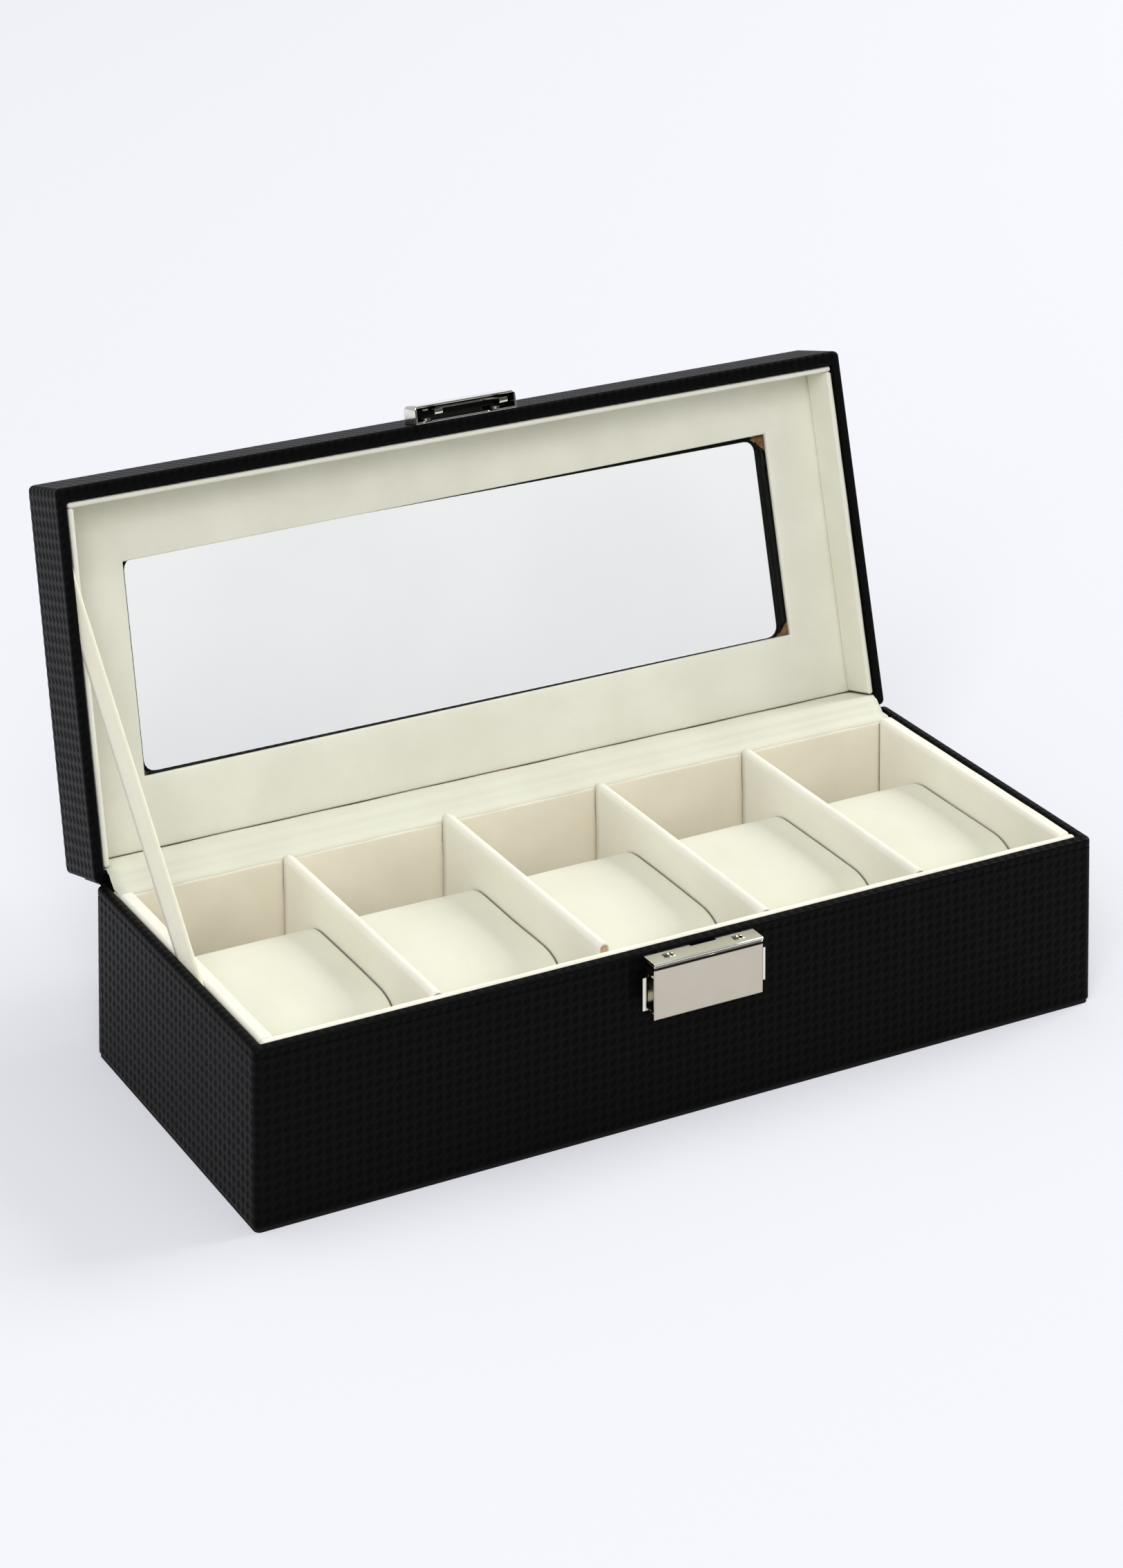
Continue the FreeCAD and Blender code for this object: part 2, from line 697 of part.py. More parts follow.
def lid_boards():
    """Four low walls under a top frame board that surrounds the window."""
    front = long_wall("lid_front_wall", f"-{BOARD_Y}", f"-{LID_FRONT_Y}", LID_BOARD_BOTTOM, FRAME_BOTTOM)
    back = long_wall("lid_back_wall", BOARD_Y, LID_BACK_Y, LID_BOARD_BOTTOM, FRAME_BOTTOM)
    pieces = [open_lid(front), open_lid(back)]
    for name, left, right in (
        ("lid_left_wall", f"-{BOARD_X}", f"-{INSIDE_X}"),
        ("lid_right_wall", INSIDE_X, BOARD_X),
    ):
        low = (left, f"-{LID_FRONT_Y}", LID_BOARD_BOTTOM)
        pieces.append(slab(name, low, (right, LID_BACK_Y, FRAME_BOTTOM), in_lid=True))
    return pieces


def lid_board_envelope(name):
    """The space the lid's boards fill, with the rounded corners and top edge they have."""
    low = (f"-{BOARD_X}", f"-{BOARD_Y}", LID_BOARD_BOTTOM)
    block = slab(name + "_block", low, (BOARD_X, BOARD_Y, LID_BOARD_TOP))
    corners = rounded(name + "_corners", block, "corner_round - leather", upright)
    top = value(LID_BOARD_TOP)
    return rounded(name, corners, "lid_top_round - leather", lambda e: at_height(e, top))


def window_prism(name, growth, radius, bottom, top):
    """An upright prism of the window's outline, made larger all round by growth."""
    blank = slab(
        name + "_blank",
        (f"-({WINDOW_X} + {growth})", f"{WINDOW_FRONT_Y} - ({growth})", bottom),
        (f"{WINDOW_X} + {growth}", f"{WINDOW_BACK_Y} + {growth}", top),
    )
    return rounded(name, blank, radius, upright)


def flared_window(name, growth, radius):
    """The window through the top board: its four sides lean outwards up to the lid's top."""
    blank = doc.addObject("Part::Wedge", name + "_blank")
    for side, grown in (("", growth), ("2", f"{growth} + window_flare")):
        blank.setExpression(f"X{side}min", formula(f"-({WINDOW_X} + {grown})"))
        blank.setExpression(f"X{side}max", formula(f"{WINDOW_X} + {grown}"))
        blank.setExpression(f"Z{side}min", formula(f"-({WINDOW_BACK_Y} + {grown})"))
        blank.setExpression(f"Z{side}max", formula(f"{grown} - {WINDOW_FRONT_Y}"))
    blank.setExpression("Ymin", formula(FRAME_BOTTOM))
    blank.setExpression("Ymax", formula(LID_TOP))
    blank.Placement.Rotation = FreeCAD.Rotation(Vector(1, 0, 0), 90)
    return rounded(name, blank, radius, lambda e: e.BoundBox.ZLength > 1)


def window_turn_in():
    """Leather from the window's four sides, turned out under the top board and cut slanting at its ends."""
    outside = window_prism("window_turn_in_blank", "window_turn_in", "window_round", PANE_TOP, FRAME_BOTTOM)
    reach = "(2 * window_turn_in)"
    centred = f"placement(vector(0; -{reach}; 0); {NO_TURN})"
    ends = []
    for number, (x, y) in enumerate((
        (WINDOW_X, WINDOW_BACK_Y),
        (f"-{WINDOW_X}", WINDOW_BACK_Y),
        (f"-{WINDOW_X}", WINDOW_FRONT_Y),
        (WINDOW_X, WINDOW_FRONT_Y),
    )):
        end = doc.addObject("Part::Box", f"window_turn_in_end_{number}")
        for side, length in (("Length", reach), ("Width", f"2 * {reach}"), ("Height", "leather")):
            end.setExpression(side, formula(length))
        turn = f"rotation(vector(0; 0; 1); {45 + 90 * number})"
        at_corner = f"placement(vector({x}; {y}; {PANE_TOP}); {turn})"
        end.setExpression("Placement", formula(f"{at_corner} * {centred}"))
        ends.append(end)
    return cut_from("window_turn_in_flaps", outside, *ends)


def lid_top_frame():
    """The top board; its opening leaves room for the leather that lines it."""
    board = lid_board_envelope("lid_top_frame_board")
    below = slab(
        "lid_top_frame_below",
        (f"-({HALF_LENGTH})", f"-({HALF_WIDTH})", RIM),
        (HALF_LENGTH, HALF_WIDTH, FRAME_BOTTOM),
    )
    opening = flared_window("lid_top_frame_opening", "leather", "window_round + leather")
    return open_lid(cut_from("lid_top_frame", board, below, opening))


def lid_cover():
    """One leather wrap: outside of the lid, folded over its rim and round the sides of the window."""
    block = slab(
        "lid_cover_block", (f"-({HALF_LENGTH})", f"-({HALF_WIDTH})", RIM), (HALF_LENGTH, HALF_WIDTH, LID_TOP)
    )
    corners = rounded("lid_cover_corners", block, "corner_round", upright)
    top = value(LID_TOP)
    outside = rounded("lid_cover_outside", corners, "lid_top_round", lambda e: at_height(e, top))
    collar = flared_window("lid_cover_collar", "leather", "window_round + leather")
    lined = joined("lid_cover_lined", collar, window_turn_in())
    hollow = cut_from("lid_cover_hollow", lid_board_envelope("lid_cover_board_space"), lined)
    mouth = slab(
        "lid_cover_mouth",
        (f"-{INSIDE_X}", f"-{LID_FRONT_Y}", f"{RIM} - 1"),
        (INSIDE_X, LID_BACK_Y, LID_BOARD_BOTTOM),
    )
    flare = flared_window("lid_cover_flare", "0", "window_round")
    window = window_prism("lid_cover_window", "0", "window_round", PANE_TOP, FRAME_BOTTOM)
    nail_holes = nail_shanks("lid_cover_holes", STRIKE_NAIL_HEIGHT)
    return open_lid(cut_from("lid_cover", outside, hollow, mouth, flare, window, *nail_holes))


def lid_glazing():
    """The pane, the bare spacer board round it and the velvet-covered panel that closes the lid inside."""
    inner_front = f"-{LID_FRONT_Y}"
    spacer_blank = slab(
        "lid_spacer_blank", (f"-{INSIDE_X}", inner_front, SPACER_BOTTOM), (INSIDE_X, LID_BACK_Y, FRAME_BOTTOM)
    )
    sight = window_prism(
        "lid_spacer_sight", "spacer_margin", "window_round + spacer_margin", PANEL_BOTTOM, FRAME_BOTTOM
    )
    pane_bottom = f"{PANE_TOP} - pane"
    rebate = window_prism(
        "lid_spacer_rebate", "pane_lap + pane_room", "pane_corner", f"{pane_bottom} - pane_room", FRAME_BOTTOM
    )
    spacer = cut_from("lid_spacer_frame", spacer_blank, sight, rebate)
    pane = window_prism("window_pane", "pane_lap", "pane_corner", pane_bottom, PANE_TOP)
    panel_blank = slab(
        "lid_lining_panel_blank",
        (f"-({LINING_X} - lid_panel_gap)", f"-({LID_FRONT_Y} - lid_panel_gap)", PANEL_BOTTOM),
        (f"{LINING_X} - lid_panel_gap", f"{LID_BACK_Y} - hinge_cloth_room", SPACER_BOTTOM),
    )
    half = "panel_opening_length / 2"
    panel_opening = slab(
        "lid_lining_panel_opening",
        (f"-{half}", f"{HALF_WIDTH} - panel_opening_front", PANEL_BOTTOM),
        (half, f"{HALF_WIDTH} - panel_opening_back", SPACER_BOTTOM),
    )
    panel = cut_from("lid_lining_panel", panel_blank, panel_opening)
    return [open_lid(spacer), open_lid(pane), open_lid(panel)]


def lid_linings():
    """Velvet-covered strips inside the lid's front and side walls, with a round lip at the rim."""
    pieces = []
    inner_front = f"(-{LID_FRONT_Y} + lid_lining)"
    lip = "lid_lining / 2"
    inner_x = f"({LINING_X} - lid_lining)"
    back = f"{LID_BACK_Y} - hinge_cloth_room"
    strips = (
        ("lid_front_lining", "x", (f"-{LINING_X}", f"-{LID_FRONT_Y}"), (LINING_X, inner_front)),
        ("lid_left_lining", "y", (f"-{LINING_X}", inner_front), (f"-{inner_x}", back)),
        ("lid_right_lining", "y", (inner_x, inner_front), (LINING_X, back)),
    )
    for name, axis, low, high in strips:
        bottom = f"({LID_LINING_BOTTOM} + {lip})"
        board = slab(name + "_board", (*low, bottom), (*high, PANEL_BOTTOM))
        across = 1 if axis == "x" else 0
        along = 1 - across
        start = [low[0], low[1], bottom]
        start[across] = f"({low[across]}) + {lip}"
        bead = rod(name + "_lip", lip, f"({high[along]}) - ({low[along]})", start, axis)
        pieces.append(open_lid(joined(name, board, bead)))
    return pieces


# ---------------------------------------------------------------- parts that join lid and base

def in_open_lid(y, z):
    """Where a point of the shut lid, given by its y and z, goes when the lid is open."""
    hinge = Vector(0, value(HINGE_Y), value(HINGE_Z))
    turn = FreeCAD.Rotation(Vector(1, 0, 0), -value("open_angle"))
    return hinge + turn.multVec(Vector(0, y, z) - hinge)


def hinge_leather():
    """The outside hinge: a leather strip glued to both back faces, folded in the corner between them."""
    corner = in_open_lid(value(HINGE_Y), value(HINGE_Z))
    down = Vector(0, 0, -1)
    along_lid = (in_open_lid(value(HINGE_Y), value(LID_TOP)) - corner).normalize()
    reach = value("hinge_leather_reach")
    fold = value("hinge_leather_fold")
    half_angle = down.getAngle(along_lid) / 2
    middle = (down + along_lid).normalize()
    centre = corner + middle * (fold / math.sin(half_angle))
    tangent = fold / math.tan(half_angle)
    on_base = corner + down * tangent
    on_lid = corner + along_lid * tangent
    wire = Part.Wire([
        Part.LineSegment(corner + down * reach, on_base).toShape(),
        Part.Arc(on_base, centre - middle * fold, on_lid).toShape(),
        Part.LineSegment(on_lid, corner + along_lid * reach).toShape(),
    ])
    half_span = value(f"{HALF_LENGTH} - corner_round")
    return band("hinge_leather", wire, value("hinge_leather_sheet"), half_span)


def hinge_cloth():
    """The inside hinge: velvet from the top of the back lining, over the gap, to the lid's inner panel."""
    board_top = value(BOARD_TOP)
    inside_wall = value(LID_BACK_Y)
    points = [
        Vector(0, value(f"{ROOM_BACK} + back_lining_round"), board_top),
        Vector(0, value(f"{BACK_LINING_Y} - hinge_cloth_room"), board_top),
        in_open_lid(inside_wall, value(RIM)),
        in_open_lid(inside_wall, value(PANEL_BOTTOM)),
    ]
    wire = Part.makePolygon(points)
    return band("hinge_cloth", wire, -value("hinge_cloth_sheet"), value(f"{LINING_X} - ribbon_slot"))


def ribbon_stay():
    """A flat ribbon on the left that stops the lid, tucked behind the linings at both ends."""
    low = Vector(0, value("ribbon_base_spot"), value("base_height"))
    high = in_open_lid(value(f"{HINGE_Y} - ribbon_lid_spot"), value(RIM))
    run = (high - low).normalize()
    tail = value("ribbon_tail")
    ribbon = doc.addObject("Part::Box", "ribbon_stay")
    ribbon.setExpression("Length", formula("ribbon_sheet"))
    ribbon.Width = (high - low).Length + 2 * tail
    ribbon.setExpression("Height", formula("ribbon_width"))
    tilt = FreeCAD.Rotation(Vector(1, 0, 0), math.degrees(math.atan2(run.z, run.y)))
    start = low - run * tail - tilt.multVec(Vector(0, 0, value("ribbon_width") / 2))
    start.x = -value(f"{INSIDE_X} - (ribbon_slot - ribbon_sheet) / 2")
    ribbon.Placement = FreeCAD.Placement(start, tilt)
    return ribbon


def build():
    pieces = base_boards() + [base_cover()] + base_underside_and_floor() + base_linings()
    for number in range(1, 5):
        pieces += divider(number)
    pieces += [pillow(number) for number in range(1, 6)]
    pieces += [latch_housing(), latch_button(), latch_spring()]
    pieces.append(nails("latch_nails", "latch_nail_height"))
    pieces += lid_boards() + [lid_top_frame(), lid_cover()] + lid_glazing() + lid_linings()
    pieces += [strike_shell(), strike_claws()]
    pieces.append(open_lid(nails("strike_nails", STRIKE_NAIL_HEIGHT)))
    pieces += [hinge_leather(), hinge_cloth(), ribbon_stay()]
    for piece in pieces:
        piece.Label = piece.Name
    doc.recompute()
    return pieces


def check(pieces):
    """Stops if anything in the document failed, or a piece isn't made of valid solids."""
    for item in doc.Objects:
        if "Invalid" in item.State or "Error" in item.State:
            raise RuntimeError(f"{item.Label} failed: {item.State}")
    for piece in pieces:
        shape = piece.Shape
        if shape.isNull() or not shape.isValid() or not shape.Solids:
            raise RuntimeError(f"{piece.Label} isn't a valid solid")


subparts = build()
check(subparts)
os.makedirs("parts", exist_ok=True)
for piece in subparts:
    piece.Shape.exportStep(os.path.join("parts", piece.Label + ".step"))
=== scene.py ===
"""The looks of a five-place watch box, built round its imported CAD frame.

Lengths are in millimetres until make_mesh turns them into metres. Lid pieces are drawn in the shut
lid's place, where they are level, and then swung open about the hinge line, as the CAD does.
"""

import json
import math

import bpy
import numpy as np
from mathutils.kdtree import KDTree
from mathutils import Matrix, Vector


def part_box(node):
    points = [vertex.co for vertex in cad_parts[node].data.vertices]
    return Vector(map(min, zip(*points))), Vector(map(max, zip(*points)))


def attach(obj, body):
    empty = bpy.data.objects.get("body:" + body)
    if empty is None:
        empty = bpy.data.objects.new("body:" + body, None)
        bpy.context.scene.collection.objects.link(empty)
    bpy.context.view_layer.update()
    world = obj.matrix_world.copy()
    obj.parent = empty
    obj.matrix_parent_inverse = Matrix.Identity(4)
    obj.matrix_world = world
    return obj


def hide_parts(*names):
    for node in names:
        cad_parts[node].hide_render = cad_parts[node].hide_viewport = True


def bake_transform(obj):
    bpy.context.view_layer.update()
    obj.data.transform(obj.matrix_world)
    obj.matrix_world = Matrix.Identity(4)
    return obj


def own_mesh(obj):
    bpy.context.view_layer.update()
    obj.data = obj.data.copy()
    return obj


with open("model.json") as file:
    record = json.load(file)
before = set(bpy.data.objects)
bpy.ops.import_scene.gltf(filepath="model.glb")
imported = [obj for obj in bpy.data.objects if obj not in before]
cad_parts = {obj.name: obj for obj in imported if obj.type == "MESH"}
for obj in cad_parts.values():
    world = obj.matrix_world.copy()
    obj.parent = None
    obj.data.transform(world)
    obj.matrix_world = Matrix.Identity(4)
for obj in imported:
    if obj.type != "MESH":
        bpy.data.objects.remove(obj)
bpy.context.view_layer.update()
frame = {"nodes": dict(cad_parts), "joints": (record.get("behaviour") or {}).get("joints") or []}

MM = 0.001
NODES = frame["nodes"]
HINGE = next(joint for joint in frame["joints"] if joint["name"] == "lid_hinge")
PIVOT_Y = HINGE["pos_m"][1] / MM
PIVOT_Z = HINGE["pos_m"][2] / MM
OPEN_ANGLE = math.radians(HINGE["range_deg"][0])  # the swing from shut to the open pose at rest

# Meshes
CORNER_STEPS = 4      # faces round a corner
LEAST_CORNER = 0.3    # radius that a shrunk rectangle's corners keep

# Leather
SHEET = 0.6           # thickness of the artificial leather
PITCH = 3.1           # from one embossed dimple to the next, both ways
FINE_STEP = PITCH / 4  # mesh spacing that samples every dimple alike
LEATHER_IOR = 1.15    # its waxy finish mirrors little except at a slant
DIMPLE_DEPTH = 0.10
DIMPLE_SLANT = 0.5    # share of the slanting wave, which draws the dimples out on one diagonal
DIMPLE_EDGE = -0.9    # wave height at a dimple's edge
DIMPLE_FLOOR = 0.9    # and where its floor begins
CORNER_ROUND = 1.8    # of the box's upright corners
CREASE_DROP = 2.7     # turned-edge line under the base's rim
CREASE_DEPTH = 0.22
TURNED_SKIN = 0.05    # how far the leather turned in over the walls stands off their inner faces
TURNED_DEPTH = 4.0
TURNED_UNDER = 12.0   # and underneath the base
LID_RIM_ROUND = 1.0
LID_TOP_ROUND = 2.2

# Window
PANE_LAP = 6.6        # how far the pane reaches past the window
WINDOW_ROUND = 3.5
WINDOW_FLARE = 4.5    # how much wider the window is at the lid's top
FLAP_REACH = 5.8      # leather turned out under the top board
FLAP_ROWS, FLAP_COLUMNS = 4, 40
FLAP_WAVE = 9.0       # length of the waves in it
PANEL_LEFT_MARGIN = 1.8  # how much larger the velvet panel's opening is than the window, side by side
PANEL_RIGHT_MARGIN = 2.6
PANEL_FRONT_MARGIN = 0.85
PANEL_BACK_MARGIN = 0.2
PANE_IOR = 1.35

# Velvet, ribbon and boards
RIB_PITCH = 0.55      # of the ribbon's weave
CREVICE_SHADE = (0.16, 0.12, 0.08, 1)  # painted shade, brownish, between velvet faces that touch
VELVET_STEP = 4.0
VELVET_RIPPLE = 0.12
BOARD_WAVE, PANEL_WAVE, STRIP_WAVE = 23.0, 37.0, 31.0  # lengths of their faint waves
LIP_RADIUS = 0.9
SLIT = 0.8            # between a divider and the back lining, low down
SLIT_TOP = 7.0        # how far under the divider's top it starts to open
SLIT_FADE = 4.0
SEATED = 0.3          # how far the divider's velvet presses into the back lining, high up

# Pillows
PILLOW_ROUND = 12.0
PILLOW_START_INSET = 0.7
PILLOW_SEAM_ROUND = 1.0  # along the edges of its two end faces
PILLOW_SIDE_GAP = 0.25   # left between a pillow and its neighbours
PILLOW_END_ROOM = 1.0    # how far a pillow may swell past its CAD solid to the front and back
PILLOW_CROWN_ROOM = 1.8  # and upwards
VOXEL = 2.2
WRINKLE_ROUNDS = 40
MOST_SWELL = 6.0
FILLING_FRAMES = 20
NEIGHBOURS = ["left_lining"] + [f"divider_{number}_sleeve" for number in range(1, 5)] + ["right_lining"]

# Metal
BRIGHT_NICKEL = (0.860, 0.850, 0.760, 1)
# Painted dark for metal: painted shade in hollows, and a painted dark reflection below a plate's bend.
PAINTED_DARK = (0.012, 0.011, 0.010, 1)

# Surroundings
BACKDROP = (0.887, 0.896, 0.939, 1)
FLOOR_GLOW = 0.30     # share of the backdrop's own light in what the camera sees of the floor
FLOOR_REACH = 6000.0
ROOM_LIGHT = 0.55
LAMP_COLOUR = (1.0, 0.99, 0.97)

# Camera, which stands at the front left of the box and above it
LENS = 91.75
SENSOR = 36.0
LENS_SHIFT = -0.895   # a view camera's downward shift, which keeps upright edges parallel in the picture
CAMERA_PLACE = (-569.8, -1022.5, 584.1)
CAMERA_AZIMUTH = 28.55
CAMERA_DROP = 4.12


# ---- places read from the frame

def swing(points, angle=OPEN_ANGLE):
    """Turns points about the hinge line. The open angle takes the shut lid to its place at rest."""
    points = np.asarray(points, float)
    y = points[..., 1] - PIVOT_Y
    z = points[..., 2] - PIVOT_Z
    cosine, sine = math.cos(angle), math.sin(angle)
    turned = points.copy()
    turned[..., 1] = PIVOT_Y + y * cosine - z * sine
    turned[..., 2] = PIVOT_Z + y * sine + z * cosine
    return turned


def base_box(node):
    """Lowest and highest corners of a node, in millimetres."""
    low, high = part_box(node)
    return np.array(low) / MM, np.array(high) / MM


def lid_box(node):
    """Lowest and highest corners of a lid node in the shut lid's place, in millimetres."""
    corners = np.array([vertex.co for vertex in NODES[node].data.vertices]) / MM
    shut = swing(corners, -OPEN_ANGLE)
    return shut.min(0), shut.max(0)


# ---- mesh tools

def lattice(rows, columns, rows_close=False, columns_close=False, first=0):
    """Quads over a lattice of points stored row by row."""
    row = np.arange(rows if rows_close else rows - 1)[:, None]
    column = np.arange(columns if columns_close else columns - 1)[None, :]
    next_row = (row + 1) % rows
    next_column = (column + 1) % columns
    corners = [
        row * columns + column,
        row * columns + next_column,
        next_row * columns + next_column,
        next_row * columns + column,
    ]
    return np.stack(corners, -1).reshape(-1, 4) + first


def arc(centre, radius, start, end, steps):
    """Points along an arc, given in degrees."""
    angles = np.radians(np.linspace(start, end, steps + 1))
    return np.column_stack([centre[0] + radius * np.cos(angles), centre[1] + radius * np.sin(angles)])


def cuts(low, high, step):
    """Shares of a side at which it is cut, on a grid of whole steps from the middle of the object."""
    marks = np.arange(math.ceil(low / step), math.floor(high / step) + 1) * step
    marks = marks[(marks > low + 0.3 * step) & (marks < high - 0.3 * step)]
    return (np.concatenate([[low], marks, [high]]) - low) / (high - low)


def ring(rectangle, height, cuts_x, cuts_y):
    """One loop round a rectangle with rounded corners, anticlockwise from its front left."""
    low_x, high_x, low_y, high_y, corner = rectangle
    left, right = low_x + corner, high_x - corner
    front, back = low_y + corner, high_y - corner
    sides = [
        ((left, low_y), (right, low_y), cuts_x, (right, front)),
        ((high_x, front), (high_x, back), cuts_y, (right, back)),
        ((right, high_y), (left, high_y), 1 - cuts_x[::-1], (left, back)),
        ((low_x, back), (low_x, front), 1 - cuts_y[::-1], (left, front)),
    ]
    loop = []
    for number, (start, end, shares, centre) in enumerate(sides):
        start, end = np.array(start), np.array(end)
        loop.append(start + shares[:, None] * (end - start))
        first_angle = 90 * number - 90
        loop.append(arc(centre, corner, first_angle, first_angle + 90, CORNER_STEPS)[1:-1])
    loop = np.vstack(loop)
    return np.column_stack([loop, np.full(len(loop), height)])


def ring_solid(rows, cuts_x, cuts_y):
    """A closed hollow shape through rings, whose last ring joins the first. Gives points and faces."""
    rings = [ring(rectangle, height, cuts_x, cuts_y) for rectangle, height in rows]
    return np.vstack(rings), lattice(len(rings), len(rings[0]), True, True)


def shrunk(rectangle, inset):
    """A rectangle moved in by an inset on every side."""
    low_x, high_x, low_y, high_y, corner = rectangle
    corner = max(corner - inset, LEAST_CORNER)
    return np.array([low_x + inset, high_x - inset, low_y + inset, high_y - inset, corner])


def edge_rows(rectangle, centre, radius, start, end, steps):
    """Rings that round an edge: the insets and heights of a rectangle along an arc."""
    return [(shrunk(rectangle, inset), height) for inset, height in arc(centre, radius, start, end, steps)]


def rounded_marks(low, high, edge, step):
    """Cuts of a side whose two ends are rounded: fine over the rounding and coarse between."""
    rise = edge * np.tan(np.radians(np.linspace(45, 0, CORNER_STEPS + 1)))
    count = max(int(round((high - low - 2 * edge) / step)), 1)
    middle = np.linspace(low + edge, high - edge, count + 1)
    return np.concatenate([low + edge - rise[:-1], middle, high - edge + rise[::-1][1:]])


def box_surface(marks):
    """Points and quads of a box's surface, cut at the given marks along each axis."""
    counts = [len(axis_marks) for axis_marks in marks]
    number = {}
    points = []
    faces = []

    def point(place):
        if place not in number:
            number[place] = len(points)
            points.append([marks[axis][place[axis]] for axis in range(3)])
        return number[place]

    for axis in range(3):
        first, second = (axis + 1) % 3, (axis + 2) % 3
        for end in (0, counts[axis] - 1):
            for i in range(counts[first] - 1):
                for j in range(counts[second] - 1):
                    quad = []
                    for di, dj in ((0, 0), (1, 0), (1, 1), (0, 1)):
                        place = [0, 0, 0]
                        place[axis], place[first], place[second] = end, i + di, j + dj
                        quad.append(point(tuple(place)))
                    faces.append(quad if end else quad[::-1])
    return np.array(points), np.array(faces)


def swell(points, length):
    """A smooth uneven field between -1 and 1, whose waves are about one length long."""
    x, y, z = (np.asarray(points).T * (2 * math.pi / length))
    first = np.sin(x + 1.3 * np.sin(0.71 * y + 0.9) + 0.8 * z)
    second = np.sin(0.83 * y - 0.47 * x + 1.1 * np.sin(0.6 * z + 0.53 * x + 2.0))
    return 0.5 * (first + second)


def rounded_board(low, high, edge, step=VELVET_STEP):
    """A padded board: a box with every edge rounded and faintly uneven faces."""
    low, high = np.array(low, float), np.array(high, float)
    marks = [rounded_marks(low[axis], high[axis], edge, step) for axis in range(3)]
    points, faces = box_surface(marks)
    core = np.clip(points, low + edge, high - edge)
    outward = points - core
    outward /= np.linalg.norm(outward, axis=1)[:, None]
    sink = VELVET_RIPPLE * 0.5 * (1 + swell(points, BOARD_WAVE))
    return core + outward * (edge - sink[:, None]), faces


def swept(skin, other, stations, place):
    """A thin closed sheet between two skins. place puts their common section at each station."""
    section = np.vstack([skin, other[::-1]])
    count = len(section)
    points = np.vstack([place(station, section) for station in stations])
    faces = lattice(len(stations), count, False, True)[:, ::-1]
    ladder = np.array([[i, i + 1, count - 2 - i, count - 1 - i] for i in range(len(skin) - 1)])
    last = (len(stations) - 1) * count
    return points, np.vstack([faces, ladder, ladder[:, ::-1] + last])


def strip(path, thickness, across):
    """A strip of cloth or leather along a path of (y, z) points, thick on the path's right."""
    along = np.gradient(path, axis=0)
    along /= np.linalg.norm(along, axis=1)[:, None]
    other = path + thickness * np.column_stack([along[:, 1], -along[:, 0]])
    return swept(path, other, across, lambda x, section: np.column_stack([np.full(len(section), x), section]))


def two_skins(rows, columns):
    """Quads of a closed sheet: two lattices of points stored one after the other, joined round their rims."""
    count = rows * columns
    number = np.arange(count).reshape(rows, columns)
    rim = np.concatenate([number[0], number[1:, -1], number[-1, -2::-1], number[-2:0:-1, 0]])
    after = np.roll(rim, -1)
    near = lattice(rows, columns)
    far = lattice(rows, columns, first=count)[:, ::-1]
    return np.vstack([near, far, np.column_stack([after, rim, rim + count, after + count])])


def face_normals(points, faces):
    """Normals of quads, longer for larger ones."""
    diagonal = points[faces[:, 2]] - points[faces[:, 0]]
    other = points[faces[:, 3]] - points[faces[:, 1]]
    return np.cross(diagonal, other)


def vertex_normals(points, faces):
    """Unit normals of a quad mesh's points."""
    of_faces = face_normals(points, faces)
    normals = np.zeros_like(points)
    for corner in range(4):
        np.add.at(normals, faces[:, corner], of_faces)
    return normals / np.maximum(np.linalg.norm(normals, axis=1), 1e-9)[:, None]


def link(name, data):
    """Puts a mesh, a lamp or a camera in the scene, as an object."""
    obj = bpy.data.objects.new(name, data)
    bpy.context.scene.collection.objects.link(obj)
    return obj


def make_mesh(name, points, faces):
    """A mesh in metres, from points in millimetres."""
    mesh = bpy.data.meshes.new(name)
    mesh.from_pydata((np.asarray(points) * MM).tolist(), [], faces)
    return mesh


def make_piece(name, points, faces, material, places=None):
    """A smooth mesh object. places is each face corner's place on its sheet, in millimetres."""
    mesh = make_mesh(name, points, np.asarray(faces).tolist())
    mesh.polygons.foreach_set("use_smooth", np.ones(len(faces), bool))
    if places is not None:
        layer = mesh.uv_layers.new(name="sheet")
        layer.data.foreach_set("uv", np.asarray(places, np.float32).ravel())
    mesh.materials.append(material)
    mesh.update()
    return link(name, mesh)


def settle(obj, body, node):
    """Makes a piece ride on a body and hides the CAD node that it stands for."""
    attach(obj, body)
    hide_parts(node)


def bend(obj, node, start, end):
    """Hides the CAD node that a piece stands for and bakes its transform. Its two (y, z) places, the first on
    the base, are not used further.
    """
    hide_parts(node)
    places = [(0, y * MM, z * MM) for y, z in (start, end)]
    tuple(places[0])
    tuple(places[1])
    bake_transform(obj)


# ---- materials

